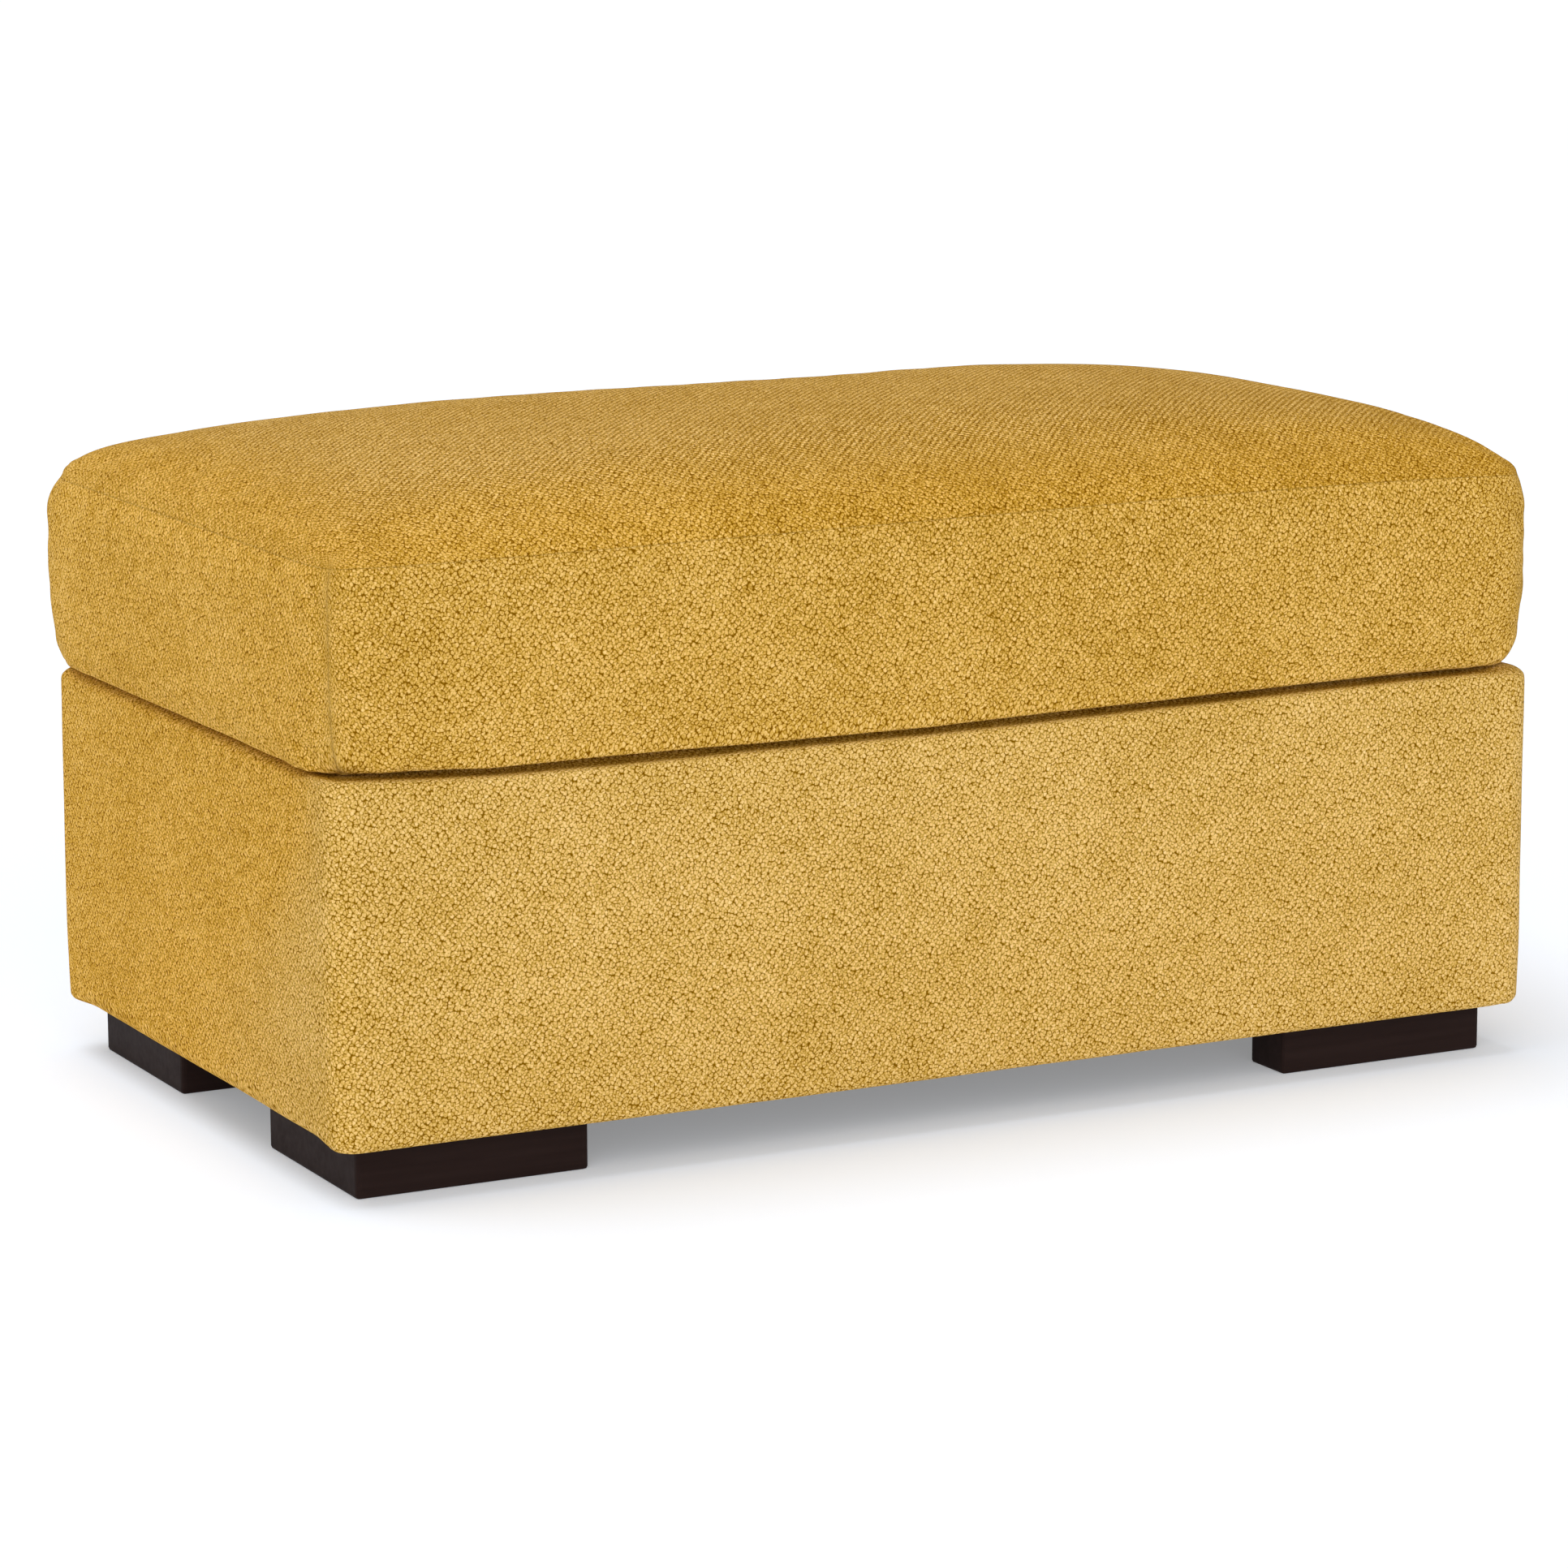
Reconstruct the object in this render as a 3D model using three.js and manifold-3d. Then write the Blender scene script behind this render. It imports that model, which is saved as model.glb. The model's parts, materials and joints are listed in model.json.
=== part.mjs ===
// Lift-top storage ottoman: a plywood box, padded and covered outside and lined inside, on four
// bracket feet. A crowned cushion lid closes it, on two butt hinges at the back, with a
// parallel-arm stay at each end of the box.
// Millimetres, +Z up. The origin is on the floor under the middle, and the front faces -Y.
import * as THREE from 'three';
import { mergeVertices } from 'three/addons/utils/BufferGeometryUtils.js';
import Module from 'manifold-3d';

const wasm = await Module();
wasm.setup();

// Overall sizes
const BASE_WIDTH = 1092;
const BASE_DEPTH = 612;
const BASE_TOP = 335;
const LID_WIDTH = 1100;
const LID_DEPTH = 619;
const SEAM_HEIGHT = 496; // floor to the seam between the lid's boxing and its top panel
const CROWN = 65; // rise of the top panel above that seam
const GAP = 0.3; // between neighbours that touch

// Thicknesses
const COVER = 1.5; // upholstery fabric
const SHEET = 0.8; // nonwoven lining and dust cover
const SIDE_PAD = 10;
const RIM_PAD = 6;
const PANEL = 18;
const BLOCK = 18;
const STORAGE_FLOOR = 12;
const LID_BOARD = 15;
const FIBRE_WRAP = 12;

// Rounded edges
const CORNER_RADIUS = 16; // the base's upright corners
const RIM_RADIUS = 14;
const HEM_RADIUS = 8;
const LID_CORNER_RADIUS = 24;
const BOARD_CORNER_RADIUS = 30;
const BOARD_INSET = 19; // lid's outer face to the edge of its board
const LID_EDGE_RADIUS = 14; // the lid's lower edge, pulled under
const EDGE_STEPS = 3;

// Feet: L-shaped blocks under the corners
const FOOT_HEIGHT = 41.8;
const FOOT_INSET_X = 28;
const FOOT_INSET_Y = 31;
const FOOT_FRONT_LEG = 197;
const FOOT_SIDE_LEG = 179;
const FOOT_THICKNESS = 51;
const FOOT_EDGE = 2.5;
const FOOT_CORNER_RADIUS = 4;
const FOOT_SCREW_ALONG_X = 130; // outer corner to the screw in the front leg
const FOOT_SCREW_ALONG_Y = 110; // outer corner to the screw in the side leg
const SCREW_HEAD_Z = 12;
const SCREW_HEAD_RADIUS = 5.5;
const SCREW_HEAD_HEIGHT = 3.5;
const SCREW_RADIUS = 2.5;
const SCREW_TOP = 58;
const SCREW_SIDES = 12;

// Frame inside the base
const BLOCK_LENGTH = 190;
const BLOCK_WIDTH = 170;
const CLEAT_WIDTH = 40;
const INNER_HEM = 39; // the cover's turn-in below the rim
const LINING_MARGIN = 13; // rim to the lining's top edge
const DUST_COVER_MARGIN = 10;

// Lid underside
const LID_HEM = 64; // the cover's turn-under
const UNDERLINING_INSET = 45;

// Hinges: the barrel lies in the notch between the rounded edges of the lid and the base
const HINGE_X = 370;
const HINGE_Y = 304;
const HINGE_Z = 332.5;
const HINGE_LENGTH = 64;
const HINGE_LEAF_DEPTH = 33;
const HINGE_LEAF = 2;
const LEAF_OFFSET = 0.5; // hinge axis to the near face of each leaf
const KNUCKLES = 5;
const KNUCKLE_RADIUS = 4;
const KNUCKLE_GAP = 0.4;
const PIN_RADIUS = 2;
const PIN_HEAD_RADIUS = 3.2;
const PIN_HEAD = 2;
const POCKET_MARGIN = 4;

// Stays: hinge axis, base pivot, elbow and lid pivot are the corners of a parallelogram, so the
// arm turns with the lid and the link keeps its direction
const BASE_PIVOT_OFFSET = [-60, -60]; // y and z from the hinge axis
const LID_PIVOT_OFFSET = [-170, -12];
const BAR = 3;
const BAR_RADIUS = 9;
const PIVOT_RADIUS = 3;
const PIVOT_HEAD_RADIUS = 6;
const PIVOT_HEAD = 2;
const PLATE = 2;
const PLATE_HALF_WIDTH = 24;
const STOP_CLEARANCE = 8.9; // base pivot to the stop tab, along y
const STOP_WIDTH = 5.6;
const STOP_LOW = 11.5;
const STOP_HIGH = 25.5;
const BAR_GAP = 0.5;
const ROUND_SIDES = 16;

// Insets of the base's layers from its outer face
const PAD_INSET = COVER + GAP;
const PANEL_INSET = PAD_INSET + SIDE_PAD + GAP;
const BOX_INSET = PANEL_INSET + PANEL;
const BOX_HALF_X = BASE_WIDTH / 2 - BOX_INSET;
const BOX_HALF_Y = BASE_DEPTH / 2 - BOX_INSET;
const MOUTH_HALF_X = BOX_HALF_X - GAP - COVER;
const MOUTH_HALF_Y = BOX_HALF_Y - GAP - COVER;

// Heights of the base's layers, from the feet up
const DUST_COVER_Z = FOOT_HEIGHT + GAP;
const HEM_Z = DUST_COVER_Z + SHEET + GAP;
const FRAME_Z = HEM_Z + COVER + GAP;
const FLOOR_Z = FRAME_Z + BLOCK + GAP;
const LINING_Z = FLOOR_Z + STORAGE_FLOOR + GAP;
const PANEL_TOP = BASE_TOP - PAD_INSET - RIM_PAD - GAP;

// Layers of the lid
const LID_BOTTOM = BASE_TOP + GAP;
const WRAP_INSET = COVER + GAP;
const CORE_INSET = WRAP_INSET + FIBRE_WRAP + GAP;
const BOARD_Z = LID_BOTTOM + WRAP_INSET;
const UNDERLINING_Z = LID_BOTTOM - GAP - SHEET;

// Planes of the stay, measured from the middle of the box
const PLATE_OUT = MOUTH_HALF_X - GAP - SHEET - GAP;
const PLATE_IN = PLATE_OUT - PLATE;
const ARM_OUT = PLATE_IN - BAR_GAP;
const ARM_IN = ARM_OUT - BAR;
const LINK_OUT = ARM_IN - BAR_GAP;
const LINK_IN = LINK_OUT - BAR;
const BASE_PIVOT = [HINGE_Y + BASE_PIVOT_OFFSET[0], HINGE_Z + BASE_PIVOT_OFFSET[1]];
const LID_PIVOT = [HINGE_Y + LID_PIVOT_OFFSET[0], HINGE_Z + LID_PIVOT_OFFSET[1]];
const ELBOW = [BASE_PIVOT[0] + LID_PIVOT_OFFSET[0], BASE_PIVOT[1] + LID_PIVOT_OFFSET[1]];

const SIDES = [['left', -1], ['right', 1]];
const CORNERS = [
  ['front_left', -1, -1],
  ['front_right', 1, -1],
  ['back_left', -1, 1],
  ['back_right', 1, 1],
];

const finishes = {
  upholstery: { color: 0xcb9e4b, roughness: 0.95, metalness: 0 },
  padding: { color: 0xf0ece2, roughness: 0.95, metalness: 0 },
  foam: { color: 0xe9dfb4, roughness: 0.95, metalness: 0 },
  plywood: { color: 0xc9a877, roughness: 0.75, metalness: 0 },
  nonwoven: { color: 0x26252a, roughness: 0.95, metalness: 0 },
  espresso: { color: 0x2c2321, roughness: 0.5, metalness: 0 },
  steel: { color: 0xb4b6b8, roughness: 0.35, metalness: 1 },
};

const ottoman = new THREE.Group();

function add(name, finish, solid) {
  const mesh = new THREE.Mesh(geometryOf(solid), new THREE.MeshStandardMaterial(finishes[finish]));
  mesh.name = name;
  ottoman.add(mesh);
}

// A closed three.js geometry as a solid that can be joined and cut
function solidOf(geometry) {
  geometry.deleteAttribute('normal');
  geometry.deleteAttribute('uv');
  const merged = mergeVertices(geometry, 1e-3);
  return new wasm.Manifold(new wasm.Mesh({
    numProp: 3,
    vertProperties: new Float32Array(merged.attributes.position.array),
    triVerts: new Uint32Array(merged.index.array),
  }));
}

function geometryOf(solid) {
  const mesh = solid.getMesh();
  const geometry = new THREE.BufferGeometry();
  geometry.setAttribute('position', new THREE.BufferAttribute(mesh.vertProperties, 3));
  geometry.setIndex(new THREE.BufferAttribute(mesh.triVerts, 1));
  geometry.computeVertexNormals();
  return geometry;
}

// A box between two faces on each axis, given in either order
function box([x0, x1], [y0, y1], [z0, z1]) {
  const geometry = new THREE.BoxGeometry(Math.abs(x1 - x0), Math.abs(y1 - y0), Math.abs(z1 - z0));
  geometry.translate((x0 + x1) / 2, (y0 + y1) / 2, (z0 + z1) / 2);
  return solidOf(geometry);
}

function roundedRect(halfX, halfY, radius) {
  const shape = new THREE.Shape();
  const x = halfX - radius;
  const y = halfY - radius;
  shape.absarc(x, y, radius, 0, Math.PI / 2);
  shape.absarc(-x, y, radius, Math.PI / 2, Math.PI);
  shape.absarc(-x, -y, radius, Math.PI, 1.5 * Math.PI);
  shape.absarc(x, -y, radius, 1.5 * Math.PI, 2 * Math.PI);
  return shape;
}

// A closed outline whose corners are cut back by a distance and rounded
function roundedOutline(corners, distance) {
  const shape = new THREE.Shape();
  corners.forEach((corner, i) => {
    const toward = (other) => corner.clone().add(other.clone().sub(corner).setLength(distance));
    const start = toward(corners.at(i - 1));
    const end = toward(corners[(i + 1) % corners.length]);
    if (i === 0) {
      shape.moveTo(start.x, start.y);
    } else {
      shape.lineTo(start.x, start.y);
    }
    shape.quadraticCurveTo(corner.x, corner.y, end.x, end.y);
  });
  return shape;
}

// An upright block with rounded corners; edge also rounds its upper and lower edges
function block(halfX, halfY, radius, z0, z1, edge = 0) {
  const geometry = new THREE.ExtrudeGeometry(roundedRect(halfX, halfY, radius), {
    depth: z1 - z0 - 2 * edge,
    curveSegments: EDGE_STEPS,
    bevelEnabled: edge > 0,
    bevelThickness: edge,
    bevelSize: edge,
    bevelOffset: -edge,
    bevelSegments: EDGE_STEPS,
  });
  geometry.translate(0, 0, z0 + edge);
  return solidOf(geometry);
}

// A shape drawn in y and z, extruded between two values of x
function plate(shape, x0, x1) {
  const options = { depth: Math.abs(x1 - x0), curveSegments: 6, bevelEnabled: false };
  const geometry = new THREE.ExtrudeGeometry(shape, options);
  const along = new THREE.Matrix4().makeBasis(
    new THREE.Vector3(0, 1, 0), new THREE.Vector3(0, 0, 1), new THREE.Vector3(1, 0, 0));
  geometry.applyMatrix4(along).translate(Math.min(x0, x1), 0, 0);
  return solidOf(geometry);
}

// A round bar along x
function rod(radius, x0, x1, [y, z]) {
  const geometry = new THREE.CylinderGeometry(radius, radius, Math.abs(x1 - x0), ROUND_SIDES);
  geometry.rotateZ(Math.PI / 2).translate((x0 + x1) / 2, y, z);
  return solidOf(geometry);
}

// A round upright hole cutter
function post(radius, [x, y], z0, z1) {
  const geometry = new THREE.CylinderGeometry(radius, radius, z1 - z0, SCREW_SIDES);
  geometry.rotateX(Math.PI / 2).translate(x, y, (z0 + z1) / 2);
  return solidOf(geometry);
}

function hingePockets() {
  const half = HINGE_LENGTH / 2 + POCKET_MARGIN;
  const inner = HINGE_Y - HINGE_LEAF_DEPTH - POCKET_MARGIN;
  const leafFloor = HINGE_Z - LEAF_OFFSET - HINGE_LEAF - GAP;
  const barrelFloor = HINGE_Z - KNUCKLE_RADIUS - GAP;
  const barrelFront = HINGE_Y - KNUCKLE_RADIUS - 1;
  const pockets = SIDES.flatMap(([, side]) => {
    const x = [side * HINGE_X - half, side * HINGE_X + half];
    return [
      box(x, [inner, BASE_DEPTH], [leafFloor, SEAM_HEIGHT]),
      box(x, [barrelFront, BASE_DEPTH], [barrelFloor, SEAM_HEIGHT]),
    ];
  });
  return pockets.reduce((all, pocket) => all.add(pocket));
}

// ---- Base ----

// The base's outer form, or the form a layer lies inside when it is inset
function baseForm(inset) {
  const halfX = BASE_WIDTH / 2 - inset;
  const halfY = BASE_DEPTH / 2 - inset;
  const radius = CORNER_RADIUS - inset;
  const upper = block(halfX, halfY, radius, 0, BASE_TOP - inset, RIM_RADIUS - inset);
  const lower = block(halfX, halfY, radius, HEM_Z + inset, SEAM_HEIGHT, HEM_RADIUS - inset);
  return upper.intersect(lower);
}

function baseCover() {
  const filling = baseForm(COVER).subtract(
    block(BOX_HALF_X - GAP, BOX_HALF_Y - GAP, 2, 0, SEAM_HEIGHT));
  const mouth = block(MOUTH_HALF_X, MOUTH_HALF_Y, 1, 0, SEAM_HEIGHT);
  const belowTurnIn = block(BOX_HALF_X, BOX_HALF_Y, 1, 0, BASE_TOP - INNER_HEM);
  return baseForm(0).subtract(filling).subtract(mouth).subtract(belowTurnIn)
    .subtract(hingePockets());
}

function addBasePads() {
  const panelHalfX = BASE_WIDTH / 2 - PANEL_INSET + GAP;
  const panelHalfY = BASE_DEPTH / 2 - PANEL_INSET + GAP;
  const panels = box([-panelHalfX, panelHalfX], [-panelHalfY, panelHalfY], [0, PANEL_TOP + GAP]);
  const inside = box([-BOX_HALF_X, BOX_HALF_X], [-BOX_HALF_Y, BOX_HALF_Y], [0, SEAM_HEIGHT]);
  const ring = baseForm(PAD_INSET).subtract(panels).subtract(inside).subtract(hingePockets());
  const height = [0, SEAM_HEIGHT];
  for (const [name, side] of [['front_pad', -1], ['back_pad', 1]]) {
    const region = box([-BASE_WIDTH, BASE_WIDTH], [side * BOX_HALF_Y, side * BASE_DEPTH], height);
    add(name, 'padding', ring.intersect(region));
  }
  for (const [name, side] of SIDES) {
    const y = [-BOX_HALF_Y + GAP, BOX_HALF_Y - GAP];
    const region = box([side * BOX_HALF_X, side * BASE_WIDTH], y, height);
    add(`${name}_side_pad`, 'padding', ring.intersect(region));
  }
}

function addPanels() {
  const outX = BASE_WIDTH / 2 - PANEL_INSET;
  const outY = BASE_DEPTH / 2 - PANEL_INSET;
  const height = [FRAME_Z, PANEL_TOP];
  for (const [name, side] of [['front_panel', -1], ['back_panel', 1]]) {
    add(name, 'plywood', box([-outX, outX], [side * BOX_HALF_Y, side * outY], height));
  }
  for (const [name, side] of SIDES) {
    const y = [-BOX_HALF_Y + GAP, BOX_HALF_Y - GAP];
    add(`${name}_side_panel`, 'plywood', box([side * BOX_HALF_X, side * outX], y, height));
  }
}

// The two screws that hold a foot, as their places on the floor plan
function footScrews(sx, sy) {
  const x = BASE_WIDTH / 2 - FOOT_INSET_X;
  const y = BASE_DEPTH / 2 - FOOT_INSET_Y;
  const middle = FOOT_THICKNESS / 2;
  return [
    ['front_leg', [sx * (x - FOOT_SCREW_ALONG_X), sy * (y - middle)]],
    ['side_leg', [sx * (x - middle), sy * (y - FOOT_SCREW_ALONG_Y)]],
  ];
}

function withoutScrewHoles(solid, sx, sy) {
  return footScrews(sx, sy).reduce(
    (left, [, place]) => left.subtract(post(SCREW_RADIUS + GAP, place, 0, SCREW_TOP + GAP)), solid);
}

function cornerBlock(sx, sy) {
  const x = BOX_HALF_X - GAP;
  const y = BOX_HALF_Y - GAP;
  const piece = box([sx * (x - BLOCK_LENGTH), sx * x], [sy * (y - BLOCK_WIDTH), sy * y],
    [FRAME_Z, FRAME_Z + BLOCK]);
  return withoutScrewHoles(piece, sx, sy);
}

function addCleats() {
  const x = BOX_HALF_X - GAP;
  const y = BOX_HALF_Y - GAP;
  const reachX = x - BLOCK_LENGTH - GAP;
  const reachY = y - BLOCK_WIDTH - GAP;
  const height = [FRAME_Z, FRAME_Z + BLOCK];
  for (const [name, side] of [['front_cleat', -1], ['back_cleat', 1]]) {
    add(name, 'plywood', box([-reachX, reachX], [side * (y - CLEAT_WIDTH), side * y], height));
  }
  for (const [name, side] of SIDES) {
    const cleat = box([side * (x - CLEAT_WIDTH), side * x], [-reachY, reachY], height);
    add(`${name}_cleat`, 'plywood', cleat);
  }
}

function storageFloor() {
  const x = BOX_HALF_X - GAP;
  const y = BOX_HALF_Y - GAP;
  return box([-x, x], [-y, y], [FLOOR_Z, FLOOR_Z + STORAGE_FLOOR]);
}

// An open tub of thin cloth inside the turned-in cover
function storageLining() {
  const halfX = MOUTH_HALF_X - GAP;
  const halfY = MOUTH_HALF_Y - GAP;
  const outside = block(halfX, halfY, 3, LINING_Z, BASE_TOP - LINING_MARGIN);
  const inside = block(halfX - SHEET, halfY - SHEET, 3 - SHEET, LINING_Z + SHEET, SEAM_HEIGHT);
  return outside.subtract(inside);
}

function dustCover() {
  const halfX = BASE_WIDTH / 2 - DUST_COVER_MARGIN;
  const halfY = BASE_DEPTH / 2 - DUST_COVER_MARGIN;
  const sheet = block(halfX, halfY, 10, DUST_COVER_Z, DUST_COVER_Z + SHEET);
  return CORNERS.reduce((left, [, sx, sy]) => withoutScrewHoles(left, sx, sy), sheet);
}

function foot(sx, sy) {
  const x = BASE_WIDTH / 2 - FOOT_INSET_X;
  const y = BASE_DEPTH / 2 - FOOT_INSET_Y;
  const t = FOOT_THICKNESS;
  const outline = [
    [x, y], [x - FOOT_FRONT_LEG, y], [x - FOOT_FRONT_LEG, y - t],
    [x - t, y - t], [x - t, y - FOOT_SIDE_LEG], [x, y - FOOT_SIDE_LEG],
  ];
  const corners = outline.map(([px, py]) => new THREE.Vector2(sx * px, sy * py));
  const geometry = new THREE.ExtrudeGeometry(roundedOutline(corners, FOOT_CORNER_RADIUS), {
    depth: FOOT_HEIGHT - 2 * FOOT_EDGE,
    curveSegments: EDGE_STEPS,
    bevelThickness: FOOT_EDGE,
    bevelSize: FOOT_EDGE,
    bevelOffset: -FOOT_EDGE,
    bevelSegments: 2,
  });
  geometry.translate(0, 0, FOOT_EDGE);
  const counterbores = footScrews(sx, sy).map(
    ([, place]) => post(SCREW_HEAD_RADIUS + 1, place, -1, SCREW_HEAD_Z + SCREW_HEAD_HEIGHT));
  const cut = counterbores.reduce((left, bore) => left.subtract(bore), solidOf(geometry));
  return withoutScrewHoles(cut, sx, sy);
}

// A wood screw standing on its head, point up
function footScrew([x, y]) {
  const headTop = SCREW_HEAD_Z + SCREW_HEAD_HEIGHT - GAP;
  const profile = [
    [0, SCREW_HEAD_Z], [SCREW_HEAD_RADIUS - 1, SCREW_HEAD_Z], [SCREW_HEAD_RADIUS, SCREW_HEAD_Z + 1],
    [SCREW_HEAD_RADIUS, headTop], [SCREW_RADIUS, headTop], [SCREW_RADIUS, SCREW_TOP - 6], [0, SCREW_TOP],
  ];
  const points = profile.map(([r, z]) => new THREE.Vector2(r, z));
  const geometry = new THREE.LatheGeometry(points, SCREW_SIDES);
  geometry.rotateX(Math.PI / 2).translate(x, y, 0);
  return solidOf(geometry);
}

// ---- Lid ----

// A block whose top face rises from its edge in a full, flattened dome
function crownedBlock(inset, z0) {
  const geometry = new THREE.BoxGeometry(2, 2, 1, 16, 12, 1);
  const halfX = LID_WIDTH / 2 - inset;
  const halfY = LID_DEPTH / 2 - inset;
  const points = geometry.attributes.position;
  for (let i = 0; i < points.count; i += 1) {
    const u = Math.sin(points.getX(i) * Math.PI / 2);
    const v = Math.sin(points.getY(i) * Math.PI / 2);
    const along = Math.max(0, 1 - Math.abs(u) ** 4) ** 0.355;
    const across = Math.max(0, 1 - Math.abs(v) ** 2.8) ** 0.51;
    const top = SEAM_HEIGHT - inset + CROWN * along * across;
    points.setXYZ(i, u * halfX, v * halfY, points.getZ(i) > 0 ? top : z0);
  }
  return solidOf(geometry);
}

// The lid cushion's outer form, or the form of a layer inside it
function lidForm(inset) {
  const bottom = LID_BOTTOM + inset;
  const rounded = block(LID_WIDTH / 2 - inset, LID_DEPTH / 2 - inset, LID_CORNER_RADIUS - inset,
    bottom, SEAM_HEIGHT + 2 * CROWN, LID_EDGE_RADIUS - inset);
  return crownedBlock(inset, bottom).intersect(rounded);
}

function coreOutline(inset, z0, z1) {
  return block(LID_WIDTH / 2 - inset, LID_DEPTH / 2 - inset, LID_CORNER_RADIUS - inset, z0, z1);
}

function lidCover() {
  const opening = block(LID_WIDTH / 2 - LID_HEM, LID_DEPTH / 2 - LID_HEM, 4,
    LID_BOTTOM - 1, BOARD_Z);
  return lidForm(0).subtract(lidForm(COVER)).subtract(opening);
}

function fibreWrap() {
  const inset = CORE_INSET - GAP;
  const core = crownedBlock(inset, BASE_TOP)
    .intersect(coreOutline(inset, BASE_TOP, SEAM_HEIGHT + 2 * CROWN));
  return lidForm(WRAP_INSET).subtract(core);
}

function lidFoam() {
  const bottom = BOARD_Z + LID_BOARD + GAP;
  return crownedBlock(CORE_INSET, bottom)
    .intersect(coreOutline(CORE_INSET, bottom, SEAM_HEIGHT + 2 * CROWN));
}

function lidBoard() {
  return block(LID_WIDTH / 2 - BOARD_INSET, LID_DEPTH / 2 - BOARD_INSET, BOARD_CORNER_RADIUS,
    BOARD_Z, BOARD_Z + LID_BOARD);
}

function underlining() {
  return block(LID_WIDTH / 2 - UNDERLINING_INSET, LID_DEPTH / 2 - UNDERLINING_INSET - 2, 4,
    UNDERLINING_Z, UNDERLINING_Z + SHEET);
}

// ---- Hinges ----

// One leaf with every second knuckle; level is -1 for the base's leaf and 1 for the lid's
function hingeLeaf(side, level) {
  const axis = [HINGE_Y, HINGE_Z];
  const x0 = side * HINGE_X - HINGE_LENGTH / 2;
  const step = HINGE_LENGTH / KNUCKLES;
  const near = HINGE_Z + level * LEAF_OFFSET;
  let leaf = box([x0, x0 + HINGE_LENGTH], [HINGE_Y - HINGE_LEAF_DEPTH, HINGE_Y],
    [near, near + level * HINGE_LEAF]);
  const own = level < 0 ? 0 : 1;
  for (let k = 0; k < KNUCKLES; k += 1) {
    const from = x0 + k * step;
    const to = from + step;
    leaf = k % 2 === own
      ? leaf.add(rod(KNUCKLE_RADIUS, from + (k ? KNUCKLE_GAP / 2 : 0),
        to - (k < KNUCKLES - 1 ? KNUCKLE_GAP / 2 : 0), axis))
      : leaf.subtract(rod(KNUCKLE_RADIUS + KNUCKLE_GAP, from - KNUCKLE_GAP / 2,
        to + KNUCKLE_GAP / 2, axis));
  }
  return leaf.subtract(rod(PIN_RADIUS + GAP, x0 - 1, x0 + HINGE_LENGTH + 1, axis));
}

function hingePin(side) {
  const axis = [HINGE_Y, HINGE_Z];
  const middle = side * HINGE_X;
  const half = HINGE_LENGTH / 2 + GAP;
  const ends = [-1, 1].map((end) =>
    rod(PIN_HEAD_RADIUS, middle + end * half, middle + end * (half + PIN_HEAD), axis));
  return rod(PIN_RADIUS, middle - half - 1, middle + half + 1, axis).add(ends[0]).add(ends[1]);
}

// ---- Stays ----

// A flat bar with round ends and a hole at each
function bar(from, to, x0, x1) {
  const turn = Math.atan2(to[1] - from[1], to[0] - from[0]);
  const shape = new THREE.Shape();
  shape.absarc(to[0], to[1], BAR_RADIUS, turn - Math.PI / 2, turn + Math.PI / 2);
  shape.absarc(from[0], from[1], BAR_RADIUS, turn + Math.PI / 2, turn + 1.5 * Math.PI);
  return [from, to].reduce(
    (left, place) => left.subtract(pivotHole(x0, x1, place)), plate(shape, x0, x1));
}

function pivotHole(x0, x1, place) {
  const middle = (x0 + x1) / 2;
  const reach = Math.abs(x1 - x0);
  return rod(PIVOT_RADIUS + GAP, middle - reach, middle + reach, place);
}

// A rivet from its head, on the storage side, out to a depth; tail adds a closing head there
function rivet(side, headOut, reach, place, tail = 0) {
  const head = rod(PIVOT_HEAD_RADIUS, side * (headOut - PIVOT_HEAD), side * headOut, place);
  const shank = rod(PIVOT_RADIUS, side * (headOut - 1), side * (reach + tail), place);
  const closing = tail ? rod(PIVOT_HEAD_RADIUS - 1, side * reach, side * (reach + tail), place) : shank;
  return head.add(shank).add(closing);
}

function stayBaseBracket(side) {
  const [y, z] = BASE_PIVOT;
  const shape = roundedRect(PLATE_HALF_WIDTH, PLATE_HALF_WIDTH + 2, 8);
  const geometryPlate = plate(shape, side * PLATE_IN, side * PLATE_OUT).translate([0, y, z + 2]);
  const tab = box([side * ARM_IN, side * (PLATE_IN + 0.5)],
    [y + STOP_CLEARANCE, y + STOP_CLEARANCE + STOP_WIDTH], [z + STOP_LOW, z + STOP_HIGH]);
  return geometryPlate.add(tab)
    .subtract(rod(PIVOT_RADIUS + GAP, side * (PLATE_IN - 1), side * (PLATE_OUT + 1), BASE_PIVOT));
}

function stayLidBracket(side) {
  const [y, z] = LID_PIVOT;
  const top = UNDERLINING_Z - GAP;
  const upright = box([side * ARM_IN, side * ARM_OUT], [y - 14, y + 14], [z - 11, top]);
  const flange = box([side * (ARM_OUT - 32), side * ARM_OUT], [y - 28, y + 28], [top - PLATE, top]);
  return upright.add(flange).subtract(pivotHole(side * ARM_IN, side * ARM_OUT, LID_PIVOT));
}

// ---- Assembly ----

addPanels();
for (const [name, sx, sy] of CORNERS) {
  add(`${name}_corner_block`, 'plywood', cornerBlock(sx, sy));
}
addCleats();
add('storage_floor', 'plywood', storageFloor());
addBasePads();
add('base_cover', 'upholstery', baseCover());
add('storage_lining', 'nonwoven', storageLining());
add('dust_cover', 'nonwoven', dustCover());
for (const [name, sx, sy] of CORNERS) {
  add(`${name}_foot`, 'espresso', foot(sx, sy));
  for (const [leg, place] of footScrews(sx, sy)) {
    add(`${name}_foot_${leg}_screw`, 'steel', footScrew(place));
  }
}

add('lid_board', 'plywood', lidBoard());
add('lid_foam', 'foam', lidFoam());
add('lid_fibre_wrap', 'padding', fibreWrap());
add('lid_cover', 'upholstery', lidCover());
add('lid_underlining', 'nonwoven', underlining());

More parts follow.
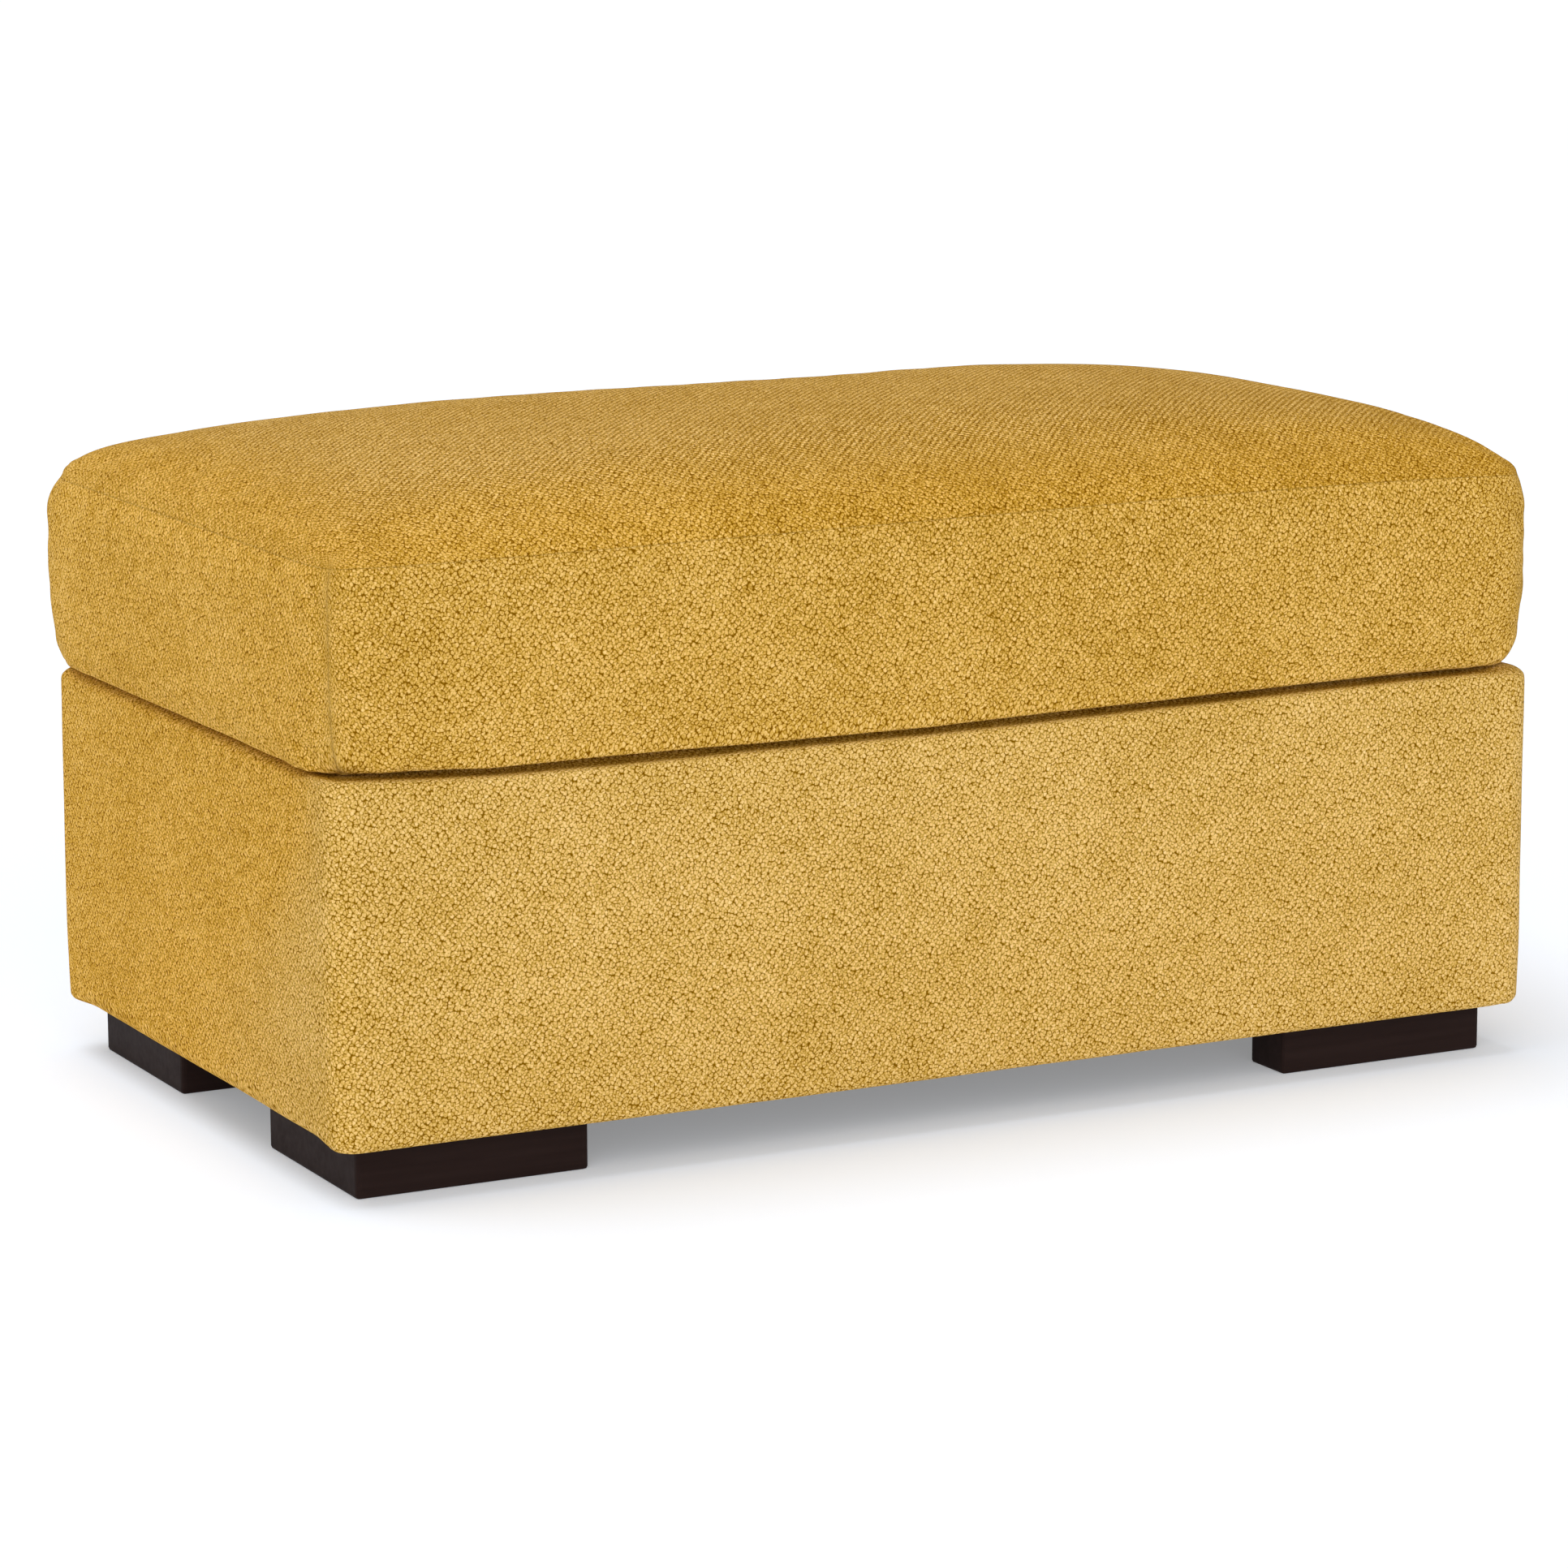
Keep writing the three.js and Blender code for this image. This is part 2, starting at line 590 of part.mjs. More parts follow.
for (const [name, side] of SIDES) {
  add(`${name}_hinge_base_leaf`, 'steel', hingeLeaf(side, -1));
  add(`${name}_hinge_lid_leaf`, 'steel', hingeLeaf(side, 1));
  add(`${name}_hinge_pin`, 'steel', hingePin(side));
  add(`${name}_stay_base_bracket`, 'steel', stayBaseBracket(side));
  add(`${name}_stay_base_pivot`, 'steel', rivet(side, ARM_IN - GAP, PLATE_OUT - GAP, BASE_PIVOT));
  add(`${name}_stay_arm`, 'steel', bar(BASE_PIVOT, ELBOW, side * ARM_IN, side * ARM_OUT));
  add(`${name}_stay_elbow_rivet`, 'steel', rivet(side, LINK_IN - GAP, ARM_OUT + GAP, ELBOW, 1.2));
  add(`${name}_stay_link`, 'steel', bar(ELBOW, LID_PIVOT, side * LINK_IN, side * LINK_OUT));
  add(`${name}_stay_lid_bracket`, 'steel', stayLidBracket(side));
  add(`${name}_stay_lid_pivot`, 'steel', rivet(side, LINK_IN - GAP, ARM_OUT - GAP, LID_PIVOT));
}

export default ottoman;
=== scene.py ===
"""The looks of the lift-top storage ottoman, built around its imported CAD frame.

Metres, +Z up, the front faces -Y. The lid cushion and the base's upholstery are meshes of their
own that stand for the CAD's plain soft solids; wood and metal keep their CAD meshes.
"""
import json
import math
import random

import bpy
import numpy as np
from mathutils import Matrix, Vector, noise


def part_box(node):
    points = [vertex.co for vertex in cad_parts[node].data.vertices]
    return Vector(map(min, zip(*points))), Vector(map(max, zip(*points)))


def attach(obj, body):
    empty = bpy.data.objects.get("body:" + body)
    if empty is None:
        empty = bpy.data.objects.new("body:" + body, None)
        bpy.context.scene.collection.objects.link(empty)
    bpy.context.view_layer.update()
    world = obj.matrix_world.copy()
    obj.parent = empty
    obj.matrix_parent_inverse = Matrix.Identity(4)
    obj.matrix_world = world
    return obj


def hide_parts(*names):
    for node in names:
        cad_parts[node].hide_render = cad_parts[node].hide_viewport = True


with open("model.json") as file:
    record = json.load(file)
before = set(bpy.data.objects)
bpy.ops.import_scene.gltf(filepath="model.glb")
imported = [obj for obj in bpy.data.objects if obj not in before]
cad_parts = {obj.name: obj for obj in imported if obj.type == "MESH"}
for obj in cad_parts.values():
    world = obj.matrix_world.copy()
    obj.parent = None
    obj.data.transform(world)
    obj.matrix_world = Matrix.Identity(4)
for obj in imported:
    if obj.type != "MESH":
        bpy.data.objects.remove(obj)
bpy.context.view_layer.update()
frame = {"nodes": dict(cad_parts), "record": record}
random.seed(7)

MM = 0.001
FABRIC_STEP = 8 * MM  # mesh spacing of the upholstery
SIM_FRAMES = 20  # length of each cloth simulation
CLOTH = {"quality": 6, "mass": 0.25, "tension_stiffness": 18, "compression_stiffness": 12,
         "shear_stiffness": 6, "bending_stiffness": 0.6, "use_pressure": True,
         "vertex_group_mass": "held", "pin_stiffness": 1.0}
NUB = 2.9 * MM  # one nub of the chenille
WEAVE = (0.146, 0.127)  # cycles per millimetre of the diagonal weave, along u and v
WEAVE_DEPTH = (0.10, 0.155)  # depth of the weave where the pile hides it, and where it shows
CREVICE_DEPTH = (0.62, 0.52)  # depth of the crevices between nubs, likewise
PILE_DEPTH = 0.15  # unevenness of the fibres
TONE = 0.66  # middle of the pile's tones, from 0 to 1

# Lid cushion
LID_CORNER = 24 * MM
SEAM_RISE = 161 * MM  # lid's lower face to the seam of the top panel
CROWN_ALONG = (3.7, 0.355)  # flattened dome: power and exponent along x
LEFT_POWER = 2.75  # the left end of the dome is a little flatter
CROWN_ACROSS = (2.8, 0.51)  # and along y
SWELL = 2.5 * MM  # left for the filling to take up
SEAM_BOW = (2 * MM, 5 * MM)  # the front seam rides up, more towards the right
LID_LEFT = -551 * MM  # the loose cover sits a little to the left and back of the board
LID_RIGHT = 541 * MM
LID_FRONT = -309 * MM
LID_BACK = 312 * MM
CORNER_REACH = 60 * MM  # how far a corner's own section blends into the sides
ROLL_ROWS = 8
# Sections of the boxing, in millimetres: roll inwards and upwards at the lower edge, droop of
# the lip, narrowing towards the lower edge, bulge below the seam, and pinch at the seam
DROOP = 2  # place of the droop in a section
SECTIONS = {
    "front": (12, 8, 2.3, 2.0, 1.0, 1.5),
    "left": (7, 7, 3.5, 2.0, 1.5, 2.0),
    "right": (8, 8, 1.0, 1.0, 0.5, 2.0),
    "back": (20, 28, 0.0, 1.0, 1.0, 1.5),
    "corner": (16, 27, 0.0, 9.0, 0.0, 7.0),
    "back corner": (10, 25, 0.0, 7.0, 0.0, 17.0),
}

# The lid's front lip sags between its corners: (x, height) along it
FRONT_LIP = ((-551 * MM, 2.5 * MM), (-530 * MM, 2.5 * MM), (-485 * MM, 0), (-410 * MM, -4 * MM),
             (-35 * MM, -5.5 * MM), (190 * MM, -2.7 * MM), (415 * MM, 0))
LIP_REACH = 40 * MM  # height over which the lift of a corner fades
LIP_DEPTH = (4 * MM, 20 * MM)  # and it fades inwards between these
LIP_SAG = 1.15  # droop of the lower edge for each part of the lip's sag
TAPER_REACH = 85 * MM  # height over which the lower edge narrows
TAPER_POWER = 1.8
PINCH_REACH = 32 * MM  # distance below the seam over which it pulls the sides in
PINCH_POWER = 2.2

# Base upholstery
BASE_CORNER = 22 * MM
CORNER_ROWS = 8
LEAST_RADIUS = 1.5 * MM  # tightest plan radius inside the rim
BASE_RIM_IN = 26 * MM  # the padded rim rolls in and over
BASE_RIM_DOWN = 12 * MM
GROOVE_FOLD = 3 * MM  # radius of the fold in front of the groove under the lid's front lip
GROOVE_OPEN = 3.5 * MM  # height of that groove
GROOVE_FADE = (6 * MM, 70 * MM)  # and it fades out this near the right side
GROOVE_PAINTED_SHADE = 0.32  # painted shade, which darkens the rim inside that groove
GROOVE_MOUTH = (1.5 * MM, 4 * MM)  # depths between which that painted shade starts
GROOVE_END = (20 * MM, 12 * MM)  # and ends
RIM_HEIGHT = 20 * MM
PANEL_DEPTH = 7.2 * MM  # the padding can't drop further over the panel's edge
INNER_RIM = 5 * MM
BASE_FOLDS = {"front": 8 * MM, "back": 10 * MM, "left": 19 * MM, "right": 12 * MM}  # lower edge
BASE_CORNER_FOLD = 7 * MM
BASE_BULGE = 1.2 * MM
BASE_TAPER = 1.5 * MM  # the cover pulls in at the lower corners
BASE_TAPER_REACH = 60 * MM
COVER = 1.5 * MM  # the fabric with its backing
LINING_GAP = 0.3 * MM
PANEL_GAP = 0.2 * MM
RIM_PAD = 6 * MM
TURN_IN = 39 * MM
TURN_UNDER = 45 * MM
INSIDE_ROWS = 10  # rows of the section from the rim's crest to the turned-in hem

# Pockets that the hinges press into the rim
POCKET_SIDE = 5 * MM  # wider than the leaf, on each side
POCKET_SLOPE = 22 * MM
POCKET_FRONT = (14 * MM, 3 * MM)  # where it starts and is full, in front of the leaf
BARREL_DEPTH = 10 * MM
POCKET_LEAF = 1.3 * MM  # how far the padding rises into the leaf's thickness
POCKET_BARREL = 0.6 * MM  # how far it clears the barrel
POCKET_HEIGHT = 15 * MM

SHEET = 0.8 * MM
HEAD_SIDES = 32
HEAD_RISE = 0.3 * MM  # screw heads stand this far proud
HEAD_RECESS = 0.45 * MM
LEAF_OFFSET = 0.5 * MM  # hinge axis to the near face of each leaf
PLATE = 2 * MM
WIRE_SIDES = 6
STAPLE = 10 * MM  # length of a staple's crown
STAPLE_STEP = 30 * MM
STAPLE_INSET = 6 * MM
DUST_MARGIN = 12 * MM  # the cloth is stapled this far inside the CAD sheet's edge

# Soft lights: (name, aim, energy, angular size in degrees)
LIGHTS = (
    ("overhead_softbox", (0.22, -0.13, -0.96), 1.15, 40),
    ("front_softbox", (0.36, 0.85, -0.38), 1.20, 60),
)

# Camera: where the viewer stands, from the middle of the object
VIEW_AZIMUTH = -27.2
VIEW_ELEVATION = 11.05
VIEW_ROLL = -0.23
VIEW_DISTANCE = 4.590
VIEW_AIM = 0.2482  # height of the point that the viewer faces
VIEW_SIDE = -0.0056  # the viewer's own shift to the side and upwards
VIEW_RAISE = -0.0171
LENS = 124.46


# ---------------------------------------------------------------- meshes

def mesh_piece(name, points, faces, material, layers=None):
    """A smooth-shaded mesh object. Each layer has one pair for each corner of each face."""
    mesh = bpy.data.meshes.new(name)
    mesh.from_pydata([tuple(p) for p in points], [], faces)
    for title, pairs in (layers or {}).items():
        layer = mesh.uv_layers.new(name=title)
        layer.data.foreach_set("uv", np.asarray(pairs, np.float32).ravel())
    mesh.shade_smooth()
    piece = bpy.data.objects.new(name, mesh)
    bpy.context.scene.collection.objects.link(piece)
    piece.data.materials.append(material)
    return piece


def coordinates(mesh, kind="co"):
    flat = np.empty(len(mesh.vertices) * 3, np.float32)
    mesh.vertices.foreach_get(kind, flat)
    return flat.reshape(-1, 3).astype(float)


def set_coordinates(mesh, points):
    mesh.vertices.foreach_set("co", np.asarray(points, np.float32).ravel())
    mesh.update()


def modify(piece, kind, **settings):
    """Runs a modifier and makes its result the piece's own mesh."""
    modifier = piece.modifiers.new("Shape", kind)
    for key, value in settings.items():
        setattr(modifier, key, value)
    graph = bpy.context.evaluated_depsgraph_get()
    mesh = bpy.data.meshes.new_from_object(piece.evaluated_get(graph))
    piece.modifiers.clear()
    piece.data = mesh


def subdivide(piece):
    modify(piece, "SUBSURF", levels=1, render_levels=1, uv_smooth="PRESERVE_BOUNDARIES")


def puff(piece, free, pressure, cap, growth=0.012):
    """Cloth simulation: the free points swell under pressure, and none moves further than cap."""
    scene = bpy.context.scene
    rest = coordinates(piece.data)
    group = piece.vertex_groups.new(name="held")
    for index in np.flatnonzero(free < 1):
        group.add([int(index)], float(1 - free[index]), "REPLACE")
    cloth = piece.modifiers.new("Swell", "CLOTH")
    for key, value in {**CLOTH, "uniform_pressure_force": pressure, "shrink_min": -growth}.items():
        setattr(cloth.settings, key, value)
    cloth.settings.effector_weights.gravity = 0
    cloth.point_cache.frame_start = 1
    cloth.point_cache.frame_end = SIM_FRAMES
    for step in range(1, SIM_FRAMES + 1):
        scene.frame_set(step)
    graph = bpy.context.evaluated_depsgraph_get()
    moved = coordinates(piece.evaluated_get(graph).data)
    piece.modifiers.clear()
    piece.vertex_groups.clear()
    scene.frame_set(1)
    shift = moved - rest
    length = np.linalg.norm(shift, axis=1, keepdims=True)
    soft = cap * np.tanh(length / cap) / np.maximum(length, 1e-9)
    set_coordinates(piece.data, rest + shift * soft)


def uneven(points, scale, seed):
    """Smooth noise from -1 to 1 at each point; scale is in features per metre."""
    shift = Vector((seed * 7.3, seed * 3.1, seed * 1.7))
    return np.array([noise.noise(Vector(p) * scale + shift) for p in points])


def run_of(line):
    """Distance along a line of points, from its start to each of them."""
    steps = np.diff(np.array(line), axis=0)
    return np.concatenate([[0], np.cumsum(np.hypot(*steps.T))])


def smoothstep(value, low, high):
    t = np.clip((value - low) / (high - low), 0, 1)
    return t * t * (3 - 2 * t)


# ---------------------------------------------------------------- materials

class Nodes:
    """Short calls for building a material's node tree."""

    def __init__(self, name):
        self.material = bpy.data.materials.new(name)
        self.material.use_nodes = True
        self.tree = self.material.node_tree
        self.shader = self.tree.nodes["Principled BSDF"]

    def add(self, kind, **settings):
        node = self.tree.nodes.new("ShaderNode" + kind)
        for key, value in settings.items():
            setattr(node, key, value)
        return node

    def link(self, source, target):
        self.tree.links.new(source, target)

    def feed(self, node, socket, value):
        if isinstance(value, bpy.types.NodeSocket):
            self.link(value, node.inputs[socket])
        else:
            node.inputs[socket].default_value = value

    def math(self, operation, a, b=0.0, clamp=False):
        node = self.add("Math", operation=operation, use_clamp=clamp)
        self.feed(node, 0, a)
        self.feed(node, 1, b)
        return node.outputs[0]

    def mapped(self, vector, scale, turn):
        mapping = self.add("Mapping")
        mapping.inputs["Scale"].default_value = scale
        mapping.inputs["Rotation"].default_value = turn
        self.link(vector, mapping.inputs["Vector"])
        return mapping.outputs["Vector"]

    def coords(self, scale=(1, 1, 1)):
        return self.mapped(self.add("TexCoord").outputs["Object"], scale, (0, 0, 0))

    def layer(self, title, scale=(1, 1, 1), turn=(0, 0, 0)):
        return self.mapped(self.add("UVMap", uv_map=title).outputs["UV"], scale, turn)

    def split(self, vector):
        node = self.add("SeparateXYZ")
        self.link(vector, node.inputs[0])
        return node.outputs[0], node.outputs[1]

    def noise(self, vector, scale, detail=2.0, rough=0.5):
        node = self.add("TexNoise")
        self.link(vector, node.inputs["Vector"])
        node.inputs["Scale"].default_value = scale
        node.inputs["Detail"].default_value = detail
        node.inputs["Roughness"].default_value = rough
        return node.outputs["Fac"]

    def voronoi(self, vector, feature, output):
        node = self.add("TexVoronoi", voronoi_dimensions="2D", feature=feature)
        self.link(vector, node.inputs["Vector"])
        node.inputs["Scale"].default_value = 1.0
        return node.outputs[output]

    def vector_math(self, operation, vector, socket, value):
        node = self.add("VectorMath", operation=operation)
        self.link(vector, node.inputs[0])
        self.feed(node, socket, value)
        return node.outputs["Vector"]

    def distort(self, vector, scale, amount):
        """The vector, pushed about by noise."""
        push = self.add("TexNoise")
        self.link(vector, push.inputs["Vector"])
        push.inputs["Scale"].default_value = scale
        centred = self.vector_math("SUBTRACT", push.outputs["Color"], 1, (0.5, 0.5, 0.5))
        push = self.vector_math("SCALE", centred, "Scale", amount)
        return self.vector_math("ADD", vector, 1, push)

    def ramp(self, value, *stops):
        node = self.add("ValToRGB")
        elements = node.color_ramp.elements
        while len(elements) < len(stops):
            elements.new(0.5)
        for element, (place, colour) in zip(elements, stops):
            element.position = place
            element.color = (*colour, 1)
        self.link(value, node.inputs["Fac"])
        return node.outputs["Color"]

    def level(self, value, low, high, to_low=0.0, to_high=1.0):
        node = self.add("MapRange")
        self.link(value, node.inputs["Value"])
        for socket, number in (("From Min", low), ("From Max", high),
                               ("To Min", to_low), ("To Max", to_high)):
            node.inputs[socket].default_value = number
        return node.outputs["Result"]

    def tint(self, colour, factor):
        """A colour multiplied by a grey factor."""
        return self.vector_math("SCALE", colour, "Scale", factor)

    def bump(self, height, distance, strength=1.0, under=None):
        node = self.add("Bump")
        node.inputs["Distance"].default_value = distance
        node.inputs["Strength"].default_value = strength
        self.link(height, node.inputs["Height"])
        if under is not None:
            self.link(under, node.inputs["Normal"])
        return node.outputs["Normal"]

    def finish(self, colour, roughness, normal=None, **fixed):
        self.link(colour, self.shader.inputs["Base Color"])
        self.feed(self.shader, "Roughness", roughness)
        if normal is not None:
            self.link(normal, self.shader.inputs["Normal"])
        for socket, value in fixed.items():
            self.shader.inputs[socket.replace("_", " ")].default_value = value
        return self.material


def srgb(red, green, blue):
    """A colour as seen, 0 to 255, in the linear values that a shader takes."""
    shares = (c / 255 for c in (red, green, blue))
    return tuple(c / 12.92 if c <= 0.04045 else ((c + 0.055) / 1.055) ** 2.4 for c in shares)


# Tone of the pile, from the bottom of a crevice to a bright nub. The pale ramp is the pile painted
# as lit by the front light, with a painted sheen on its nub tops; the golden ramp is the same pile
# painted as less lit.
PALE_PILE = ((0.0, (128, 84, 0)), (0.25, (172, 129, 31)), (0.5, (213, 170, 79)),
             (0.75, (243, 202, 125)), (1.0, (255, 222, 158)))
GOLDEN_PILE = ((0.0, (128, 78, 0)), (0.25, (172, 122, 10)), (0.5, (213, 162, 54)),
               (0.75, (243, 194, 99)), (1.0, (255, 214, 131)))


def chenille():
    """Mustard chenille: flat nubs parted by thin, uneven crevices, on a diagonal weave.

    The "cloth" layer is in metres. The "seams" layer is the distance from the panel's upright
    seams and from its top seam. The nap and light layer holds the pile's warmth and the nubs'
    contrast, partly the pile's nap and partly painted light, and the weave and shade layer holds
    how much the weave shows and how much painted shade darkens the pile.
    """
    n = Nodes("mustard_chenille")
    warm, contrast = n.split(n.layer("nap"))
    # The second value of this layer darkens the pile: painted shade by panel, across the top and
    # in the groove under the lid's front lip, partly the pile's own nap.
    twill, painted_shade_and_nap = n.split(n.layer("lie"))
    flat = n.layer("cloth", scale=(1 / NUB, 1 / NUB, 1), turn=(0, 0, math.radians(17)))
    cloth = n.distort(flat, 2.1, 0.55)
    edge = n.voronoi(cloth, "DISTANCE_TO_EDGE", "Distance")
    broken = n.level(n.noise(flat, 1.3, detail=1), 0.40, 0.58, 0.15, 1.0)
    gap = n.math("MULTIPLY", n.level(edge, 0.19, 0.02, 0, 0.72), broken)
    pit = n.level(n.voronoi(cloth, "F1", "Distance"), 0.55, 0.90, 0, 0.60)
    crevice = n.math("ADD", gap, pit)
    across, along = n.split(n.layer("cloth", scale=(WEAVE[0] / MM * math.tau,
                                                    WEAVE[1] / MM * math.tau, 1)))
    rows = n.math("SINE", n.math("ADD", across, along))
    ribs = n.math("SINE", n.math("SUBTRACT", across, along))
    weave = n.math("MULTIPLY", n.math("ADD", rows, ribs), 0.5)
    weave = n.math("MULTIPLY", weave, n.level(twill, 0, 1, *WEAVE_DEPTH))
    fibre = n.noise(flat, 3.1, detail=3, rough=0.65)
    pile = n.level(fibre, 0.3, 0.7, -1, 1)
    height = n.math("SUBTRACT", n.math("ADD", weave, n.math("MULTIPLY", pile, PILE_DEPTH)),
                    n.math("MULTIPLY", crevice, n.level(twill, 0, 1, *CREVICE_DEPTH)))
    shade = n.level(n.voronoi(cloth, "F1", "Color"), 0, 1, -0.08, 0.08)
    place = n.coords()
    slow = n.math("ADD", n.level(n.noise(place, 21, detail=3), 0.3, 0.7, -0.03, 0.03),
                  n.level(n.noise(place, 5, detail=2), 0.35, 0.65, -0.025, 0.025))
    mottle = n.math("MULTIPLY", n.level(n.noise(place, 115, detail=2), 0.3, 0.7, -0.09, 0.09),
                    n.level(warm, 0, 1, 0.25, 1.0))
    swing = n.math("MULTIPLY", n.math("ADD", height, shade), contrast)
    tone = n.math("SUBTRACT", n.math("ADD", n.math("ADD", swing, TONE),
                                     n.math("ADD", slow, mottle)), painted_shade_and_nap)
    # Painted light: warmth blends the pale ramp, painted as front-lit with a sheen, into the
    # golden one, painted as less lit.
    pale, golden = (n.ramp(tone, *((at, srgb(*rgb)) for at, rgb in stops))
                    for stops in (PALE_PILE, GOLDEN_PILE))
    pile_colour = n.add("Mix", data_type="RGBA")
    n.link(warm, pile_colour.inputs["Factor"])
    n.link(pale, pile_colour.inputs[6])
    n.link(golden, pile_colour.inputs[7])
    upright, below = n.split(n.layer("seams"))
    low_down = n.level(below, 0.04, 0.09)
    drawn = n.math("MULTIPLY", n.level(upright, 1.0 * MM, 0.3 * MM), low_down)
    seam = n.math("MULTIPLY", n.math("SUBTRACT", 1.0, drawn), n.level(below, 0.0, 1.2 * MM))
    # Painted shade of small puckers: short dark marks beside the lower part of the upright seams.
    pucker_shade_marks = n.level(n.noise(n.layer("cloth", scale=(60, 340, 1)), 1.0, detail=1), 0.52, 0.66)
    beside = n.math("MULTIPLY", n.level(upright, 6 * MM, 1 * MM), low_down)
    painted_pucker_shade = n.math("MULTIPLY", n.math("MULTIPLY", pucker_shade_marks, beside), 0.30)
    dimmed = n.math("SUBTRACT", n.level(seam, 0, 1, 0.70, 1.0), painted_pucker_shade)
    dimmed = n.math("SUBTRACT", dimmed, n.math("MULTIPLY", drawn, 0.28))
    shaded = n.tint(pile_colour.outputs[2], dimmed)
    raised = n.math("MULTIPLY", n.math("ADD", height, 0.9), n.level(seam, 0, 1, 0.4, 1.0))
    normal = n.bump(raised, 0.9 * MM, strength=0.7)
    roughness = n.level(fibre, 0.2, 0.8, 0.90, 1.0)
    return n.finish(shaded, roughness, normal, Specular_IOR_Level=0.05)


def nonwoven(name, colour, dots):
    """Spunbonded cloth: matted fibres, pressed with a grid of small dots."""
    n = Nodes(name)
    place = n.layer("cloth", scale=(dots, dots, 1), turn=(0, 0, math.radians(45)))
    dot = n.add("TexVoronoi", voronoi_dimensions="2D", feature="F1")
    n.link(place, dot.inputs["Vector"])
    dot.inputs["Scale"].default_value = 1.0
    dot.inputs["Randomness"].default_value = 0.0
    pressed = n.level(dot.outputs["Distance"], 0.15, 0.32)
    fibres = n.noise(n.coords(scale=(1, 1.7, 1)), 700, detail=3, rough=0.7)
    height = n.math("ADD", n.math("MULTIPLY", pressed, 0.7), n.math("MULTIPLY", fibres, 0.6))
    light = tuple(min(1, c * 1.8 + 0.004) for c in colour)
    shades = n.ramp(height, (0.25, tuple(c * 0.55 for c in colour)), (0.6, colour), (1.0, light))
    return n.finish(shades, n.level(fibres, 0.2, 0.8, 0.8, 0.97), n.bump(height, 0.25 * MM),
                    Specular_IOR_Level=0.25)


def grained_wood(name, dark, light, grain, roughness, specular=0.4):
    """Wood with grain along x, as fine streaks over slow bands."""
    n = Nodes(name)
    streaks = n.noise(n.coords(scale=(0.06, 1, 1)), grain, detail=4, rough=0.6)
    bands = n.noise(n.coords(scale=(0.15, 1, 1)), grain * 0.12, detail=2)
    mixed = n.math("ADD", n.math("MULTIPLY", streaks, 0.6), n.math("MULTIPLY", bands, 0.4))
    colour = n.ramp(mixed, (0.32, dark), (0.68, light))
    rough = n.level(mixed, 0.3, 0.7, roughness + 0.07, roughness - 0.05)
    return n.finish(colour, rough, n.bump(mixed, 0.12 * MM, strength=0.6),
                    Specular_IOR_Level=specular)


def plated_steel(name, shade, roughness):
    """Zinc-plated or brushed sheet steel, with fine drawn lines and slight clouding."""
    n = Nodes(name)
    lines = n.noise(n.coords(scale=(0.04, 1, 1)), 2600, detail=2)
    clouds = n.noise(n.coords(), 45, detail=3)
    mixed = n.math("ADD", n.math("MULTIPLY", lines, 0.5), n.math("MULTIPLY", clouds, 0.5))
    colour = n.ramp(mixed, (0.3, tuple(c * 0.82 for c in shade)), (0.7, shade))
    rough = n.level(mixed, 0.3, 0.7, roughness - 0.06, roughness + 0.09)
    return n.finish(colour, rough, n.bump(lines, 0.02 * MM, strength=0.5), Metallic=1.0)


def soft_filling(name, colour, grain):
    """Open foam or fibre."""
    n = Nodes(name)
    cells = n.noise(n.coords(), grain, detail=3, rough=0.6)
    shades = n.ramp(cells, (0.3, tuple(c * 0.75 for c in colour)), (0.7, colour))
    return n.finish(shades, n.level(cells, 0, 1, 0.85, 1.0), n.bump(cells, 0.8 * MM))


def studio_floor():
    """A white sweep, lit from below like a light table so that shadows stay pale."""
    n = Nodes("studio_floor")
    cloud = n.noise(n.coords(), 0.4, detail=1)
    colour = n.ramp(cloud, (0.0, (0.775, 0.83, 0.925)), (1.0, (0.795, 0.85, 0.945)))
    return n.finish(colour, 1.0, Specular_IOR_Level=0.0, Emission_Color=(1, 1, 1, 1),
                    Emission_Strength=0.24)


chenille_cloth = chenille()
lining_cloth = nonwoven("lining_nonwoven", (0.018, 0.018, 0.020), 500)
dust_cloth = nonwoven("dust_cover_nonwoven", (0.011, 0.011, 0.012), 420)
finishes = {
    "upholstery": chenille_cloth,
    "padding": soft_filling("fibre_padding", (0.84, 0.82, 0.76), 260),
    "foam": soft_filling("cushion_foam", (0.80, 0.70, 0.42), 900),
    "plywood": grained_wood("plywood", (0.42, 0.27, 0.13), (0.62, 0.45, 0.25), 190, 0.68),
    "lining": lining_cloth,
    "dust_cover": dust_cloth,
    "espresso_wood": grained_wood("espresso_wood", (0.0175, 0.0092, 0.0078),
                                  (0.0255, 0.0142, 0.0122), 150, 0.5, specular=0.04),
    "zinc_steel": plated_steel("zinc_plated_steel", (0.62, 0.63, 0.64), 0.36),
    "plated_steel": plated_steel("brushed_steel", (0.50, 0.51, 0.52), 0.32),
}


def finish_cad_nodes():
    for part in frame["record"]["subparts"]:
        node = frame["nodes"][part["node"]]
        node.data.materials.clear()
        node.data.materials.append(finishes[part["material_slot"]])


# ---------------------------------------------------------------- lid cushion

FAR = 0.5  # further from a seam than any of its effects reach
PANEL_SHIFT = {"top": 0, "front": 1, "back": 2, "left": 3, "right": 4, "under": 5}

